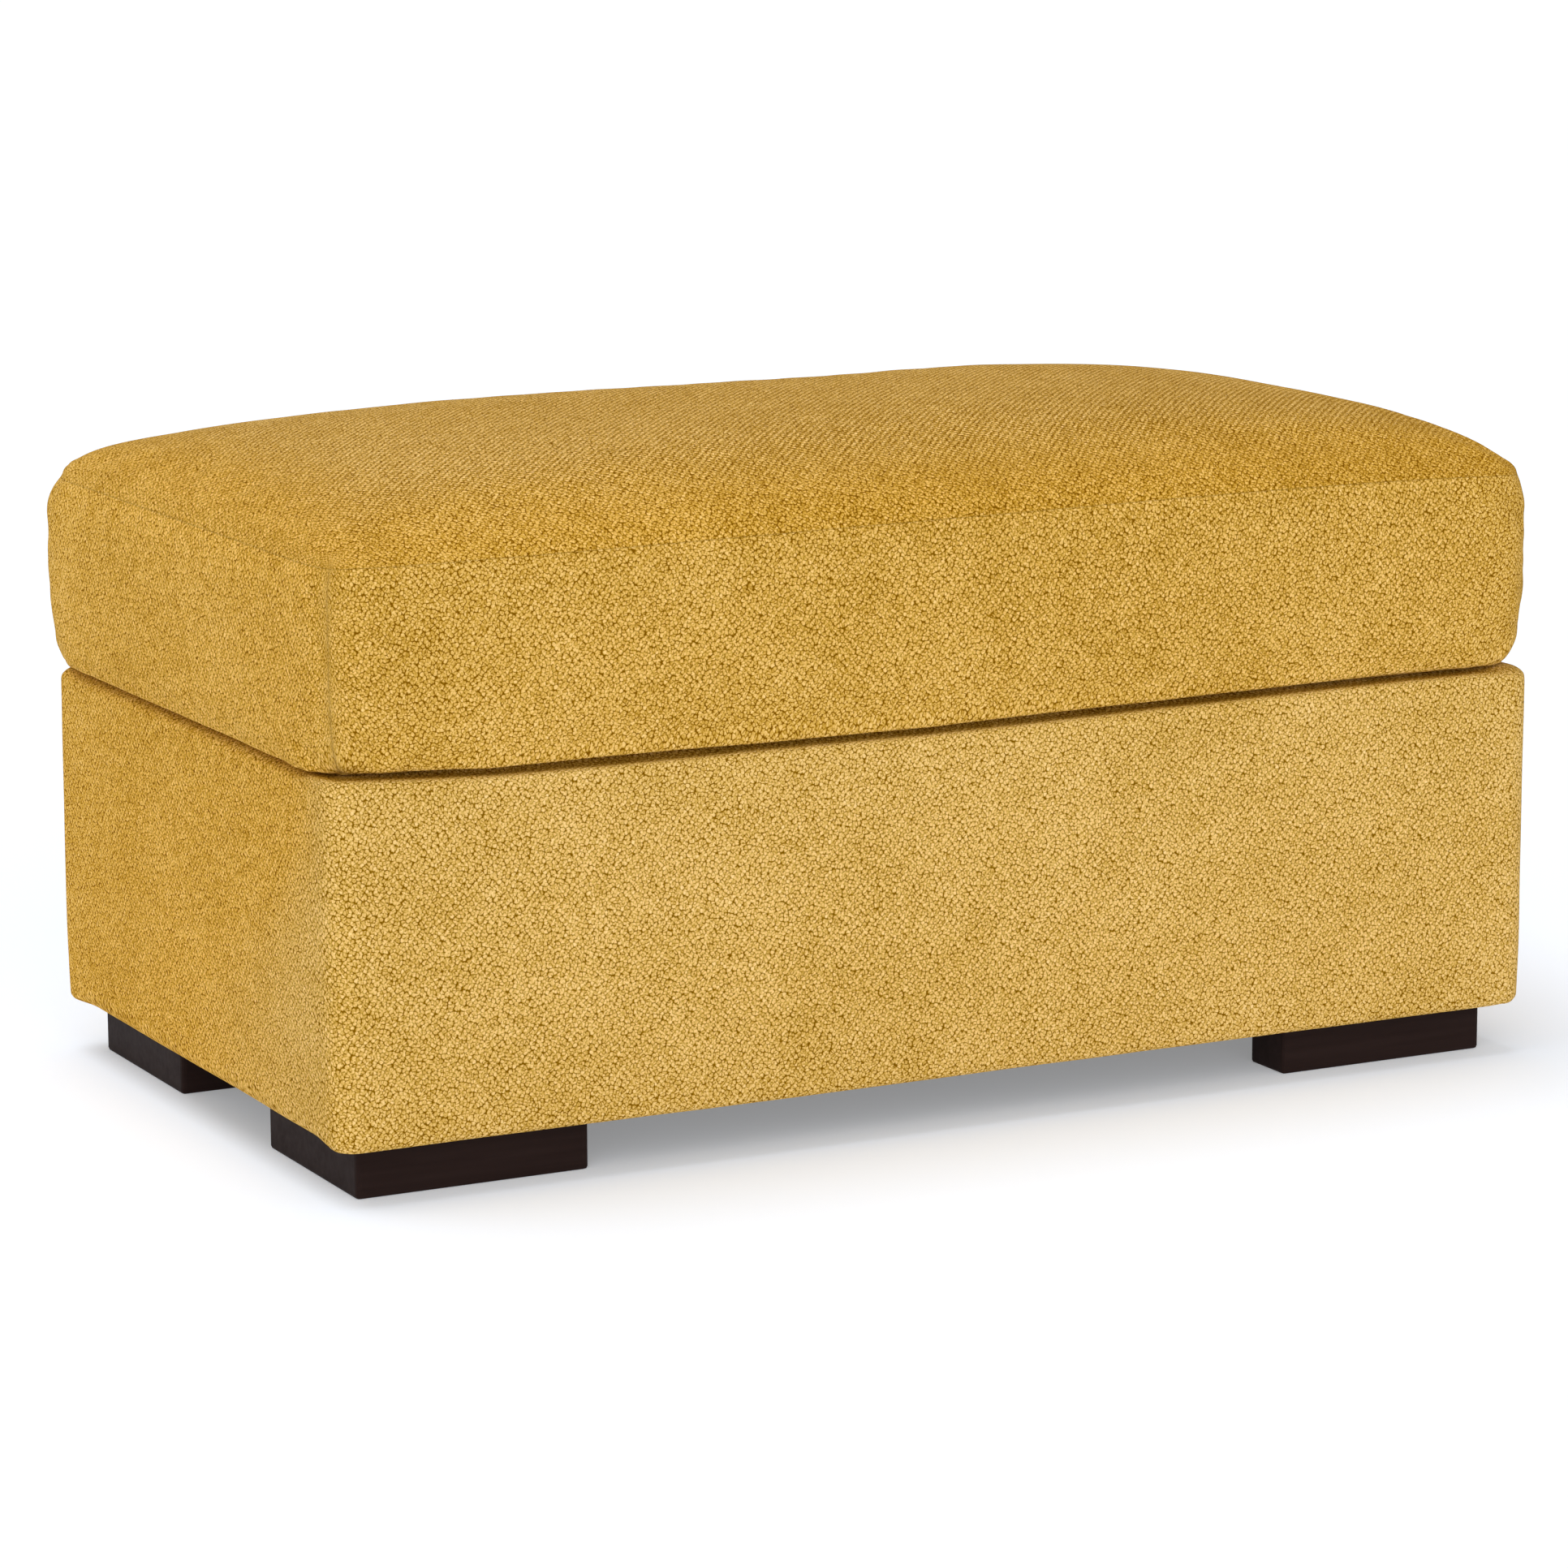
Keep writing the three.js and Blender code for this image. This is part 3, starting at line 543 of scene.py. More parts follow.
# The pile of each panel: warmth, contrast, show of the weave, darkness. Partly the pile's own nap,
# partly painted light: the front's pale, high-contrast tone is a painted sheen of the front light,
# and the ends' and top's warmer, darker tone is painted shade.
PILE_NAP_AND_LIGHT = {
    "base": {"level": (0.0, 1.42, 0.0, 0.006), "end": (1.0, 1.55, 0.15, 0.02)},
    "lid": {"level": (0.4, 1.42, 0.0, 0.053), "end": (0.9, 1.50, 0.15, 0.0)},
    "top": {"edge": (0.7, 1.50, 0.1, 0.098), "middle": (0.35, 2.35, 1.0, 0.08)},
}
NAP_AND_LIGHT_FADE = 70 * MM  # a panel's nap and painted light fade over this beside a corner
NAP_AND_LIGHT_FADE_LOW = 330 * MM  # near the floor
NAP_AND_LIGHT_LOW = (300 * MM, 90 * MM)  # heights between which that begins
TOP_EDGE = (20 * MM, 150 * MM)  # distances from the seam over which the top's pile changes
TOP_PAINTED_SHADE = 0.045  # painted shade: the top is darker towards the right


def mix(one, other, share):
    return [a + (b - a) * share for a, b in zip(one, other)]


def boxing_nap_and_light(level, aside):
    """The boxing's nap and painted light: the front's carries on round the upright corners, then
    fades.
    """
    front, end = PILE_NAP_AND_LIGHT["lid"]["level"], PILE_NAP_AND_LIGHT["lid"]["end"]
    share = 0.0 if level else float(smoothstep(aside, 0, NAP_AND_LIGHT_FADE))
    return mix(front, end, share)


def base_nap_and_light(level, aside, y, up):
    """The box's nap and painted light: the front's carries on round the front corners, further
    near the floor.
    """
    front, end = PILE_NAP_AND_LIGHT["base"]["level"], PILE_NAP_AND_LIGHT["base"]["end"]
    low = float(smoothstep(up, *NAP_AND_LIGHT_LOW))
    turned = float(smoothstep(aside, 0, NAP_AND_LIGHT_FADE + (NAP_AND_LIGHT_FADE_LOW - NAP_AND_LIGHT_FADE) * low))
    if y > 0:  # behind, the ends' nap and painted light carry on round the corners instead
        return mix(front, end, 1 - turned if level else 1.0)
    return mix(front, end, 0.0 if level else turned)


def crown_share(share, shape):
    power, exponent = shape
    if shape is CROWN_ALONG and share < 0:
        power = LEFT_POWER
    return max(0.0, 1 - abs(share) ** power) ** exponent


def crown_lines(half, shape, rise):
    """Places across the crown, evenly spaced along its curve, and their distance along it."""
    share = np.sin(np.linspace(0, math.pi / 2, 4000))
    height = rise * np.array([crown_share(s, shape) for s in share])
    run = np.concatenate([[0], np.cumsum(np.hypot(np.diff(share * half), np.diff(height)))])
    steps = int(round(run[-1] / FABRIC_STEP))
    along = np.linspace(0, run[-1], steps + 1)
    places = np.interp(along, run, share * half)
    return (np.concatenate([-places[:0:-1], places]),
            np.concatenate([-along[:0:-1], along]))


def section_at(x, y, half_x, half_y):
    """The boxing's section at a point of the plan: the nearest side's, blended into a corner's."""
    from_side = half_x - abs(x)
    from_end = half_y - abs(y)
    if from_side < from_end:
        side = SECTIONS["right" if x > 0 else "left"]
    else:
        side = SECTIONS["back" if y > 0 else "front"]
    share = 1 - float(smoothstep(max(from_side, from_end), 0, CORNER_REACH))
    corner = SECTIONS["back corner" if y > 0 else "corner"]
    return [(a + (b - a) * share) * MM for a, b in zip(side, corner)]


def boxing_point(row, rows, section):
    """Outset and height of one row of the boxing."""
    roll_in, roll_up, droop, taper, bulge, pinch = section
    if row <= ROLL_ROWS:
        turn = row / ROLL_ROWS * math.pi / 2
        out = roll_in * (math.sin(turn) - 1)
        up = roll_up * (1 - math.cos(turn)) - droop * math.sin(2 * turn)
    else:
        out = 0.0
        up = roll_up + (row - ROLL_ROWS) / (rows - ROLL_ROWS) * (SEAM_RISE - roll_up)
    out -= taper * max(0.0, 1 - max(up, 0) / TAPER_REACH) ** TAPER_POWER
    out += bulge * math.sin(math.pi * min(1, max(0, up / SEAM_RISE)))
    out -= pinch * max(0.0, 1 - (SEAM_RISE - up) / PINCH_REACH) ** PINCH_POWER
    return out, up


def front_lip(x, behind):
    """Height of the lid's front lip at x; it fades behind the front face."""
    places, heights = zip(*FRONT_LIP)
    return float(np.interp(x, places, heights) * (1 - smoothstep(behind, 0, CORNER_REACH)))


def plan_point(x, y, half_x, half_y, corner, outset):
    """Moves a point of a rectangle's plan to the rounded plan, offset by outset at its edge."""
    scale = (corner + outset) / corner
    a = abs(x) - (half_x - corner)
    b = abs(y) - (half_y - corner)
    if a > 0 and b > 0:
        turn = max(a, b) / math.hypot(a, b)
        a *= turn
        b *= turn
    px = half_x - corner + a * scale if a > 0 else abs(x)
    py = half_y - corner + b * scale if b > 0 else abs(y)
    return math.copysign(px, x), math.copysign(py, y)


def lid_mesh(low, high):
    """Points, faces and cloth layers of the boxed, crowned cushion."""
    half_x = (LID_RIGHT - LID_LEFT) / 2
    half_y = (LID_BACK - LID_FRONT) / 2
    middle = ((LID_RIGHT + LID_LEFT) / 2, (LID_BACK + LID_FRONT) / 2)
    rise = high.z - low.z - SEAM_RISE - SWELL
    xs, run_x = crown_lines(half_x, CROWN_ALONG, rise)
    ys, run_y = crown_lines(half_y, CROWN_ACROSS, rise)
    top = ROLL_ROWS + int(round(SEAM_RISE / FABRIC_STEP))
    run_up = {panel: run_of([boxing_point(k, top, [v * MM for v in SECTIONS[panel]])
                             for k in range(top + 1)])
              for panel in ("front", "back", "left", "right")}
    last_x = len(xs) - 1
    last_y = len(ys) - 1
    index, points = {}, []

    def place(i, j, k):
        if (i, j, k) not in index:
            section = section_at(xs[i], ys[j], half_x, half_y)
            lip = front_lip(xs[i] + middle[0], ys[j] + half_y)
            section[DROOP] -= LIP_SAG * min(lip, 0)
            out, up = boxing_point(k, top, section)
            inside = min(half_x - abs(xs[i]), half_y - abs(ys[j]))
            rim_share = 1 - float(smoothstep(inside, *LIP_DEPTH))
            up += max(lip, 0) * rim_share * max(0.0, 1 - up / LIP_REACH) ** 2
            x, y = plan_point(xs[i], ys[j], half_x, half_y, LID_CORNER, out)
            u, v = xs[i] / half_x, ys[j] / half_y
            bow = (SEAM_BOW[0] + SEAM_BOW[1] * u) * (1 - u ** 4) * (1 - v) / 2
            up += bow * (up / SEAM_RISE) ** 2
            if k == top:
                share = crown_share(u, CROWN_ALONG) * crown_share(v, CROWN_ACROSS)
                up += (rise - bow) * share
            index[i, j, k] = len(points)
            points.append((x + middle[0], y + middle[1], low.z + up))
        return index[i, j, k]

    faces = []
    layers = {"cloth": [], "seams": [], "nap": [], "lie": []}

    def quad(corners, panel):
        faces.append([place(*c) for c in corners])
        for i, j, k in corners:
            to_x, to_y = run_x[-1] - abs(run_x[i]), run_y[-1] - abs(run_y[j])
            if panel in ("top", "under"):
                spot = (run_x[i], run_y[j])
                seams = (FAR, min(to_x, to_y) if panel == "top" else FAR)
                inwards = float(smoothstep(min(to_x, to_y), *TOP_EDGE))
                nap = mix(PILE_NAP_AND_LIGHT["top"]["edge"], PILE_NAP_AND_LIGHT["top"]["middle"], inwards)
                # painted shade across the top, darker towards the right
                nap[3] += TOP_PAINTED_SHADE * run_x[i] / run_x[-1]
            else:
                level = panel in ("front", "back")
                spot = (run_x[i] if level else run_y[j], run_up[panel][k])
                aside = to_x if level else to_y
                seams = (aside, run_up[panel][top] - run_up[panel][k])
                nap = boxing_nap_and_light(level, aside)
            shift = PANEL_SHIFT[panel]
            layers["cloth"].append((spot[0] + 2.3 * shift, spot[1] + 1.7 * shift))
            layers["seams"].append(seams)
            layers["nap"].append(nap[:2])
            layers["lie"].append(nap[2:])

    for i in range(last_x):
        for j in range(last_y):
            quad([(i, j, top), (i + 1, j, top), (i + 1, j + 1, top), (i, j + 1, top)], "top")
            quad([(i, j, 0), (i, j + 1, 0), (i + 1, j + 1, 0), (i + 1, j, 0)], "under")
    for k in range(top):
        for i in range(last_x):
            a, b = i, i + 1
            quad([(a, 0, k), (b, 0, k), (b, 0, k + 1), (a, 0, k + 1)], "front")
            quad([(b, last_y, k), (a, last_y, k), (a, last_y, k + 1), (b, last_y, k + 1)], "back")
        for j in range(last_y):
            a, b = j, j + 1
            quad([(0, b, k), (0, a, k), (0, a, k + 1), (0, b, k + 1)], "left")
            quad([(last_x, a, k), (last_x, b, k), (last_x, b, k + 1), (last_x, a, k + 1)], "right")
    seam_points = {n for (i, j, k), n in index.items()
                   if k == top and (i in (0, last_x) or j in (0, last_y))}
    corner_points = {n for (i, j, k), n in index.items() if i in (0, last_x) and j in (0, last_y)}
    under_points = {n for (i, j, k), n in index.items() if k == 0}
    return np.array(points), faces, layers, seam_points, corner_points, under_points


def lid_cushion():
    low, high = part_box("lid_cover")
    points, faces, layers, seam, corners, under = lid_mesh(low, high)
    piece = mesh_piece("lid_cushion", points, faces, chenille_cloth, layers)
    free = np.ones(len(points))
    for held in (seam, corners, under):
        free[list(held)] = 0
    puff(piece, free, pressure=3.0, cap=3 * MM)
    rough_up(piece, held=under, seams=seam | corners)
    subdivide(piece)
    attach(piece, "lid")
    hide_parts("lid_cover", "lid_fibre_wrap", "lid_foam")
    return piece


def rough_up(piece, held, seams, slow=1.4 * MM, quick=0.45 * MM, pucker=0.9 * MM):
    """Adds the slight unevenness of a filled cover, and small puckers beside its seams."""
    points = coordinates(piece.data)
    seam_points = points[list(seams)]
    near = np.array([np.sqrt(((seam_points - p) ** 2).sum(1).min()) for p in points])
    beside = np.exp(-near / 0.016) * smoothstep(near, 0, 0.004)
    amount = (slow * uneven(points, 4.5, 1) + quick * uneven(points, 17, 2)
              + pucker * beside * uneven(points, 42, 3))
    amount[list(held)] = 0
    amount[list(seams)] = -0.4 * MM
    set_coordinates(piece.data, points + coordinates(piece.data, "normal") * amount[:, None])


# ---------------------------------------------------------------- base upholstery

def base_outline(half_x, half_y, corner):
    """Stations round the box: (x and y of the arc's centre, direction, run, panel, aside).

    aside is the distance along the cover from the middle of the nearest corner.
    """
    centre = (half_x - corner, half_y - corner)
    quarter = corner * math.pi / 2
    stations = []
    run = 0.0
    for order, (sx, sy) in enumerate([(1, -1), (1, 1), (-1, 1), (-1, -1)]):
        start = order * 90 - 90
        panels = ("front", "right", "back", "left")
        for part in range(CORNER_ROWS):
            share = part / CORNER_ROWS
            panel = panels[order] if share < 0.5 else panels[(order + 1) % 4]
            stations.append((sx * centre[0], sy * centre[1], math.radians(start + 90 * share),
                             run + quarter * share, panel, abs(share - 0.5) * quarter))
        run += quarter
        length = 2 * (centre[1] if order % 2 == 0 else centre[0])
        steps = int(round(length / FABRIC_STEP))
        for part in range(steps + 1):
            share = part / steps
            to_end = length * min(share, 1 - share)
            x = sx * centre[0] * (1 if order % 2 == 0 else 1 - 2 * share)
            y = sy * centre[1] * (1 - 2 * share if order % 2 == 0 else 1)
            stations.append((x, y, math.radians(start + 90), run + length * share,
                             panels[(order + 1) % 4], to_end + quarter / 2))
        run += length
    return stations, run


def base_point(station, outset, half_x, half_y, corner):
    """A section's point at a station. Inside the arc's own centre the plan is nearly square."""
    x, y, turn, _, _, _ = station
    reach = max(corner + outset, LEAST_RADIUS)
    pull = reach - (corner + outset)
    x *= 1 - pull / (half_x - corner)
    y *= 1 - pull / (half_y - corner)
    return x + math.cos(turn) * reach, y + math.sin(turn) * reach


def arc(centre, radius, start, end, steps):
    """Points of an arc in (outset, height), angles in degrees from outwards, upwards positive."""
    turns = [math.radians(start + (end - start) * s / steps) for s in range(steps + 1)]
    return [(centre[0] + radius * math.cos(t), centre[1] + radius * math.sin(t)) for t in turns]


def between(begin, end, count):
    return [(begin[0] + (end[0] - begin[0]) * s / count,
             begin[1] + (end[1] - begin[1]) * s / count) for s in range(1, count)]


def groove_rim(top, depth):
    """The front rim, which drops away under the lid's lip."""
    fold = arc((-GROOVE_FOLD, top - depth - GROOVE_FOLD), GROOVE_FOLD, 0, 90, 4)
    behind = min(depth, PANEL_DEPTH)
    return fold + [(-9 * MM, top - 0.97 * depth), (-12.5 * MM, top - 0.96 * behind),
                   (-18 * MM, top - 0.5 * behind), (-BASE_RIM_IN, top)]


def painted_groove_shade(out, down):
    """Painted shade on the rim, in the groove under the lid's front lip."""
    if down > RIM_HEIGHT:
        return 0.0
    return GROOVE_PAINTED_SHADE * float(smoothstep(-out, *GROOVE_MOUTH) * smoothstep(-out, *GROOVE_END))


def base_section(bottom, top, panel_out, panel_in, panel, share, groove=0.0, depth=0.0):
    """The cover and its padding in section, from the hem under the box out, up, over and in.

    share is 1 at a corner and 0 along the sides. groove is the groove's share of the rim.
    """
    fold_radius = BASE_FOLDS[panel] + (BASE_CORNER_FOLD - BASE_FOLDS[panel]) * share
    fold = arc((-fold_radius, bottom + fold_radius), fold_radius, -90, 0, 6)
    rim = [(BASE_RIM_IN * (math.cos(t) - 1), top - BASE_RIM_DOWN * (1 - math.sin(t)))
           for t in np.linspace(0, math.pi / 2, 9)]
    rim = [mix(plain, cut, groove) for plain, cut in zip(rim, groove_rim(top, depth))]
    hem = (-TURN_UNDER, bottom)
    mouth = -(panel_in + LINING_GAP + COVER)
    inner_rim = arc((mouth + INNER_RIM, top - INNER_RIM), INNER_RIM, 90, 180, 4)
    turned_in = (mouth, top - TURN_IN)
    rows = int(round((top - bottom - max(BASE_FOLDS.values()) - BASE_RIM_DOWN) / FABRIC_STEP))
    shown = [hem, *between(hem, fold[0], 3), *fold, *between(fold[-1], rim[0], rows), *rim]
    soft = []
    for out, up in shown:
        level = (up - bottom) / (top - bottom)
        out += BASE_BULGE * (1 - share) * math.sin(math.pi * min(1, max(0, level)))
        out -= BASE_TAPER * share * max(0.0, 1 - (up - bottom) / BASE_TAPER_REACH) ** 1.5
        soft.append((out, up))
    inside = [*inner_rim, *between(inner_rim[-1], turned_in, 4), turned_in]
    under = top - COVER - RIM_PAD
    behind = -panel_out + PANEL_GAP
    back = [(mouth + COVER, top - TURN_IN), (mouth + COVER, under), (behind, under),
            (behind, bottom + COVER), (-TURN_UNDER, bottom + COVER)]
    return soft + inside, back


def base_mesh(low, high, panel_out, panel_in):
    half_x = (high.x - low.x) / 2
    half_y = (high.y - low.y) / 2
    stations, circumference = base_outline(half_x, half_y, BASE_CORNER)
    points, outer, groove_shade = [], [], []
    for station in stations:
        share = 1 - float(smoothstep(station[5], 0, CORNER_REACH))
        x, y = base_point(station, 0, half_x, half_y, BASE_CORNER)
        groove = 1 - float(smoothstep(y + half_y, BASE_CORNER, BASE_CORNER + CORNER_REACH))
        groove *= float(smoothstep(half_x - x, *GROOVE_FADE))
        depth = max(0.5 * MM, GROOVE_OPEN - front_lip(x, 0))
        shown, back = base_section(low.z, high.z, panel_out, panel_in, station[4], share,
                                   groove, depth)
        for order, (out, up) in enumerate(shown + back):
            x, y = base_point(station, out, half_x, half_y, BASE_CORNER)
            points.append((x, y, up))
            outer.append(order < len(shown) - INSIDE_ROWS)
            # painted shade on the rim in the groove under the lid's front lip
            groove_shade.append(groove * painted_groove_shade(out, high.z - up))
    width = len(shown) + len(back)
    section = base_section(low.z, high.z, panel_out, panel_in, "front", 0)[0] + back
    run_z = np.append(run_of(section), 0)
    run_z[-1] = run_z[-2] + 10 * MM  # the row that closes the section
    faces = []
    layers = {"cloth": [], "seams": [], "nap": [], "lie": []}
    for s, station in enumerate(stations):
        t = (s + 1) % len(stations)
        for p in range(width):
            q = (p + 1) % width
            faces.append([s * width + p, t * width + p, t * width + q, s * width + q])
            for end, row in ((s, p), (t, p), (t, p + 1), (s, p + 1)):
                run = stations[end][3] if end or not s else circumference
                level = stations[end][4] in ("front", "back")
                layers["cloth"].append((run + 11.3, run_z[row] + 5.1))
                layers["seams"].append((FAR, FAR))
                _, y, up = points[end * width + row % width]
                nap = base_nap_and_light(level, stations[end][5], y, up)
                layers["nap"].append(nap[:2])
                layers["lie"].append((nap[2], nap[3] + groove_shade[end * width + row % width]))
    corners = {s * width + p for s, station in enumerate(stations) if station[5] < 1e-6
               for p in range(len(shown))}
    return np.array(points), np.array(outer), faces, layers, corners


def press_hinge_pockets(points, top):
    """The padding of the rim is pressed down under each hinge's leaf and barrel."""
    for side in ("left", "right"):
        low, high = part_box(f"{side}_hinge_base_leaf")
        middle = (low.x + high.x) / 2
        half = (high.x - low.x) / 2 + POCKET_SIDE
        aside = np.abs(points[:, 0] - middle)
        share = 1 - smoothstep(aside, half, half + POCKET_SLOPE)
        share *= smoothstep(points[:, 1], low.y - POCKET_FRONT[0], low.y - POCKET_FRONT[1])
        over = points[:, 1] > high.y - BARREL_DEPTH
        floor = np.where(over, low.z - POCKET_BARREL, low.z + POCKET_LEAF)
        near = points[:, 2] > top - POCKET_HEIGHT
        lowered = np.minimum(points[:, 2], floor)
        points[:, 2] = np.where(near, points[:, 2] * (1 - share) + lowered * share, points[:, 2])


def base_upholstery():
    low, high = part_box("base_cover")
    panel_low, panel_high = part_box("front_panel")
    panel_out = panel_low.y - low.y
    panel_in = panel_high.y - low.y
    points, outer, faces, layers, corners = base_mesh(low, high, panel_out, panel_in)
    piece = mesh_piece("base_upholstery", points, faces, chenille_cloth, layers)
    above = points[:, 2] > low.z + max(BASE_FOLDS.values())
    below = points[:, 2] < high.z - BASE_RIM_DOWN
    free = np.where(above & below & outer, 1.0, 0.0)
    free[list(corners)] = 0
    puff(piece, free, pressure=1.2, cap=1.5 * MM, growth=0.006)
    held = set(np.flatnonzero(~outer))
    rough_up(piece, held=held, seams=corners, slow=0.9 * MM, quick=0.35 * MM, pucker=0)
    settled = coordinates(piece.data)
    press_hinge_pockets(settled, high.z)
    settled[:, 2] = np.minimum(settled[:, 2], high.z)
    set_coordinates(piece.data, settled)
    subdivide(piece)
    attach(piece, "base")
    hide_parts("base_cover", "front_pad", "back_pad", "left_side_pad", "right_side_pad")
    return piece


# ---------------------------------------------------------------- thin sheets

def sheet_grid(name, low, high, step, material, lift):
    """A level sheet over a rectangle; lift gives its height above the box's middle."""
    columns = int(round((high.x - low.x) / step))
    lines = int(round((high.y - low.y) / step))
    level = (low.z + high.z) / 2
    points, faces, uvs = [], [], []
    for j in range(lines + 1):
        for i in range(columns + 1):
            x = low.x + (high.x - low.x) * i / columns
            y = low.y + (high.y - low.y) * j / lines
            points.append((x, y, level + lift(x, y)))
    for j in range(lines):
        for i in range(columns):
            a = j * (columns + 1) + i
            face = [a, a + 1, a + columns + 2, a + columns + 1]
            faces.append(face)
            uvs.extend((points[v][0], points[v][1]) for v in face)
    piece = mesh_piece(name, points, faces, material, {"cloth": uvs})
    modify(piece, "SOLIDIFY", thickness=SHEET, offset=0)
    return piece


def edge_distance(x, y, low, high):
    return min(x - low.x, high.x - x, y - low.y, high.y - y)


def dust_cover():
    low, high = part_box("dust_cover")
    low += Vector((DUST_MARGIN, DUST_MARGIN, 0))
    high -= Vector((DUST_MARGIN, DUST_MARGIN, 0))

    def sag(x, y):
        inside = edge_distance(x, y, low, high)
        slack = noise.noise(Vector((x * 7, y * 7, 4.2)))
        return -(2.2 + 1.2 * slack) * MM * float(smoothstep(inside, 0.07, 0.20))

    piece = sheet_grid("dust_cover_cloth", low, high, 14 * MM, dust_cloth, sag)
    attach(piece, "base")
    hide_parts("dust_cover")


def underlining():
    low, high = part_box("lid_underlining")

    def waves(x, y):
        inside = edge_distance(x, y, low, high)
        return 0.25 * MM * noise.noise(Vector((x * 9, y * 9, 1.3))) * float(
            smoothstep(inside, 0.005, 0.03))

    piece = sheet_grid("lid_underlining_cloth", low, high, 14 * MM, lining_cloth, waves)
    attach(piece, "lid")
    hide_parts("lid_underlining")


def storage_lining():
    """An open tub of thin cloth, slack against the walls below the turned-in cover."""
    low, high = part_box("storage_lining")
    half_x, half_y = (high.x - low.x) / 2, (high.y - low.y) / 2
    height = high.z - low.z
    step = 14 * MM
    nx, ny, nz = (int(round(2 * half_x / step)), int(round(2 * half_y / step)),
                  int(round(height / step)))
    index, points, faces, uvs = {}, [], [], []

    def place(i, j, k):
        if (i, j, k) not in index:
            x = -half_x + 2 * half_x * i / nx
            y = -half_y + 2 * half_y * j / ny
            z = low.z + height * k / nz
            slack = 0.0
            if 0 < k and z < high.z - 32 * MM:
                slack = 1.3 * MM * (0.5 + 0.5 * noise.noise(Vector((x * 8, y * 8, z * 11))))
            x += slack if i == nx else -slack if i == 0 else 0
            y += slack if j == ny else -slack if j == 0 else 0
            index[i, j, k] = len(points)
            points.append((x, y, z))
        return index[i, j, k]

    def quad(*corners):
        face = [place(*c) for c in corners]
        faces.append(face)
        spread = [points[v] for v in face]
        flat = max(p[2] for p in spread) - min(p[2] for p in spread) < 1e-6
        uvs.extend((p[0], p[1]) if flat else (p[0] + p[1], p[2]) for p in spread)

    for i in range(nx):
        for j in range(ny):
            quad((i, j, 0), (i + 1, j, 0), (i + 1, j + 1, 0), (i, j + 1, 0))
    for k in range(nz):
        for i in range(nx):
            quad((i, 0, k), (i, 0, k + 1), (i + 1, 0, k + 1), (i + 1, 0, k))
            quad((i, ny, k), (i + 1, ny, k), (i + 1, ny, k + 1), (i, ny, k + 1))
        for j in range(ny):
            quad((0, j, k), (0, j + 1, k), (0, j + 1, k + 1), (0, j, k + 1))
            quad((nx, j, k), (nx, j, k + 1), (nx, j + 1, k + 1), (nx, j + 1, k))
    piece = mesh_piece("storage_lining_cloth", points, faces, lining_cloth, {"cloth": uvs})
    modify(piece, "SOLIDIFY", thickness=SHEET, offset=1)
    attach(piece, "base")
    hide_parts("storage_lining")


# ---------------------------------------------------------------- small fixings

def ring_faces(rings, sides):
    """Faces between rings of points, with a cap at each end."""
    faces = [[a + part, a + (part + 1) % sides, a + (part + 1) % sides + sides, a + part + sides]
             for a in range(0, (rings - 1) * sides, sides) for part in range(sides)]
    faces.append(list(reversed(range(sides))))
    faces.append([(rings - 1) * sides + part for part in range(sides)])
    return faces


def screw_head(centre, facing, radius):
    """Points and faces of a low dome with a cross recess, standing on a surface."""
    centre, facing = Vector(centre), Vector(facing)
    across = facing.orthogonal().normalized()
    upright = facing.cross(across)
    shares = (0.14, 0.22, 0.34, 0.46, 0.58, 0.70, 0.86, 1.0, 1.0)
    points = []
    for ring, share in enumerate(shares):
        for part in range(HEAD_SIDES):
            turn = math.tau * part / HEAD_SIDES
            x, y = share * math.cos(turn), share * math.sin(turn)
            rise = HEAD_RISE * (1 - 0.6 * share ** 3)
            if min(abs(x), abs(y)) < 0.15 and share < 0.65:
                rise -= HEAD_RECESS
            if ring == len(shares) - 1:
                rise = -0.2 * MM
            points.append(centre + (across * x + upright * y) * radius + facing * rise)
    return points, ring_faces(len(shares), HEAD_SIDES)


def staple(middle, along, facing):
    """Points and faces of a wire crown whose ends bend into the cloth."""
    aside = along.cross(facing)
    path = [(-0.5, -0.9), (-0.5, -0.2), (-0.44, 0.25), (0, 0.32), (0.44, 0.25), (0.5, -0.2),
            (0.5, -0.9)]
    points = []
    for share, rise in path:
        centre = middle + along * (share * STAPLE) + facing * (rise * MM)
        for part in range(WIRE_SIDES):
            turn = math.tau * part / WIRE_SIDES
            outward = facing if abs(share) < 0.47 else along * math.copysign(1, share)
            points.append(centre + (aside * math.cos(turn) * 0.6 + outward * math.sin(turn) * 0.3)
                          * MM)
    return points, ring_faces(len(path), WIRE_SIDES)


def fixings(name, body, shapes):
    """Joins many small shapes into one steel piece."""
    points, faces = [], []
    for some, ring in shapes:
        faces.extend([v + len(points) for v in face] for face in ring)
        points.extend(some)
    piece = mesh_piece(name, points, faces, finishes["zinc_steel"])
    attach(piece, body)


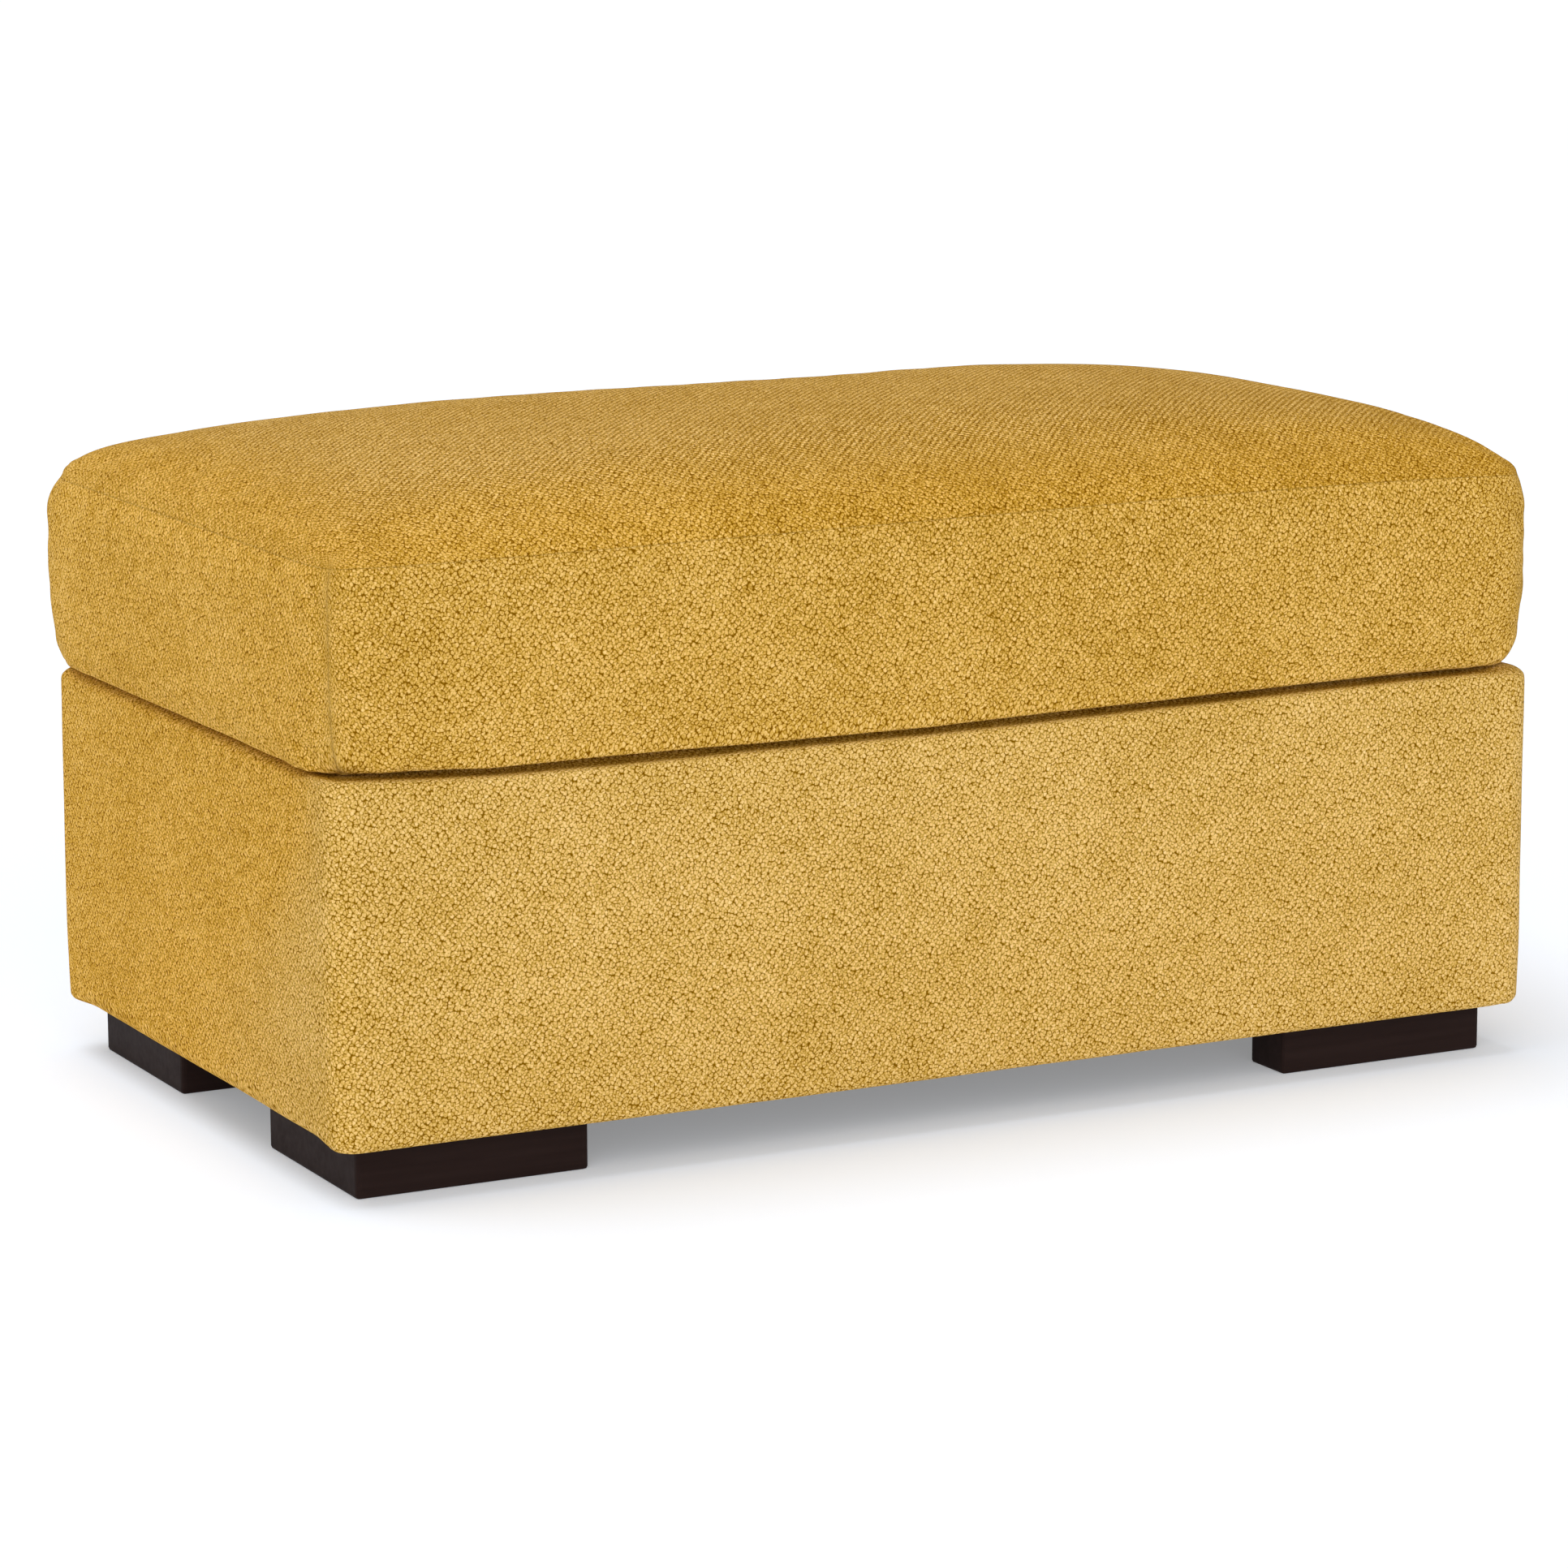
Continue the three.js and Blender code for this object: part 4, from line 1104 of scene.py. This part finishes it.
def screws():
    on_base, on_lid = [], []
    for side, way in (("left", -1), ("right", 1)):
        low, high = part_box(f"{side}_hinge_pin")
        axis = (low.z + high.z) / 2
        for leaf, shapes, facing in (("base", on_base, 1), ("lid", on_lid, -1)):
            low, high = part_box(f"{side}_hinge_{leaf}_leaf")
            level = axis - facing * LEAF_OFFSET
            shapes.extend(
                screw_head((low.x + (high.x - low.x) * share, low.y + inward, level),
                           (0, 0, facing), 3.4 * MM)
                for share, inward in ((0.16, 0.009), (0.5, 0.017), (0.84, 0.009)))
        low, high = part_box(f"{side}_stay_base_bracket")
        wall = (high.x if way > 0 else low.x) - way * PLATE
        for y, z in ((0.15, 0.85), (0.15, 0.15), (0.85, 0.15)):
            place = (wall, low.y + (high.y - low.y) * y, low.z + (high.z - low.z) * z)
            on_base.append(screw_head(place, (-way, 0, 0), 3.2 * MM))
        low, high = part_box(f"{side}_stay_lid_bracket")
        middle = (low.x + high.x) / 2
        for share in (0.15, 0.85):
            place = (middle, low.y + (high.y - low.y) * share, high.z - PLATE)
            on_lid.append(screw_head(place, (0, 0, -1), 3.2 * MM))
    fixings("base_screws", "base", on_base)
    fixings("lid_screws", "lid", on_lid)


def staples_round(low, high, level, avoid=()):
    """Staples along the edge of a sheet, on its underside."""
    spots = []
    inset = STAPLE_INSET
    for y in (low.y + inset, high.y - inset):
        count = int((high.x - low.x) / STAPLE_STEP)
        spots += [(low.x + (high.x - low.x) * (i + 0.5) / count, y, 0) for i in range(count)]
    for x in (low.x + inset, high.x - inset):
        count = int((high.y - low.y) / STAPLE_STEP)
        spots += [(x, low.y + (high.y - low.y) * (i + 0.5) / count, 90) for i in range(count)]
    shapes = []
    for x, y, turn in spots:
        x += random.uniform(-2, 2) * MM
        y += random.uniform(-2, 2) * MM
        turn = math.radians(turn + random.uniform(-14, 14))
        if any(a.x - STAPLE < x < b.x + STAPLE and a.y - STAPLE < y < b.y + STAPLE
               for a, b in avoid):
            continue
        along = Vector((math.cos(turn), math.sin(turn), 0))
        shapes.append(staple(Vector((x, y, level)), along, Vector((0, 0, -1))))
    return shapes


def staples():
    low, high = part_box("lid_underlining")
    brackets = [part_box(f"{side}_stay_lid_bracket") for side in ("left", "right")]
    fixings("lid_staples", "lid", staples_round(low, high, low.z, brackets))
    low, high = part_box("dust_cover")
    feet = [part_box(f"{corner}_foot")
            for corner in ("front_left", "front_right", "back_left", "back_right")]
    margin = Vector((DUST_MARGIN, DUST_MARGIN, 0))
    fixings("base_staples", "base", staples_round(low + margin, high - margin, low.z, feet))


# ---------------------------------------------------------------- stage

def studio():
    half = 60.0
    corners = [(-half, -half, 0), (half, -half, 0), (half, half, 0), (-half, half, 0)]
    floor = mesh_piece("studio_floor_plane", corners, [[0, 1, 2, 3]], studio_floor())
    world = bpy.data.worlds.new("studio_world")
    world.use_nodes = True
    world.node_tree.nodes["Background"].inputs["Color"].default_value = (1, 1, 1, 1)
    world.node_tree.nodes["Background"].inputs["Strength"].default_value = 0.50
    bpy.context.scene.world = world
    for name, aim, energy, angle in LIGHTS:
        sun = bpy.data.lights.new(name, "SUN")
        sun.energy = energy
        sun.angle = math.radians(angle)
        holder = bpy.data.objects.new(name, sun)
        holder.rotation_euler = Vector(aim).to_track_quat("-Z", "Y").to_euler()
        bpy.context.scene.collection.objects.link(holder)


def photo_camera():
    azimuth, elevation, roll = (math.radians(v) for v in (VIEW_AZIMUTH, VIEW_ELEVATION, VIEW_ROLL))
    right = Vector((math.cos(azimuth), math.sin(azimuth), 0))
    back = Vector((math.sin(azimuth) * math.cos(elevation),
                   -math.cos(azimuth) * math.cos(elevation), math.sin(elevation)))
    up = back.cross(right)
    rolled_right = right * math.cos(roll) + up * math.sin(roll)
    rolled_up = up * math.cos(roll) - right * math.sin(roll)
    eye = (Vector((0, 0, VIEW_AIM)) + rolled_right * VIEW_SIDE + rolled_up * VIEW_RAISE
           + back * VIEW_DISTANCE)
    lens = bpy.data.cameras.new("photo_camera")
    lens.sensor_width = 36
    lens.lens = LENS
    lens.clip_end = 200
    camera = bpy.data.objects.new("photo_camera", lens)
    turn = Matrix((rolled_right, rolled_up, back)).transposed().to_4x4()
    camera.matrix_world = Matrix.Translation(eye) @ turn
    bpy.context.scene.collection.objects.link(camera)
    bpy.context.scene.camera = camera


photo_camera()
studio()
bpy.context.scene.view_settings.view_transform = "Standard"
finish_cad_nodes()
lid_cushion()
base_upholstery()
storage_lining()
underlining()
dust_cover()
screws()
staples()
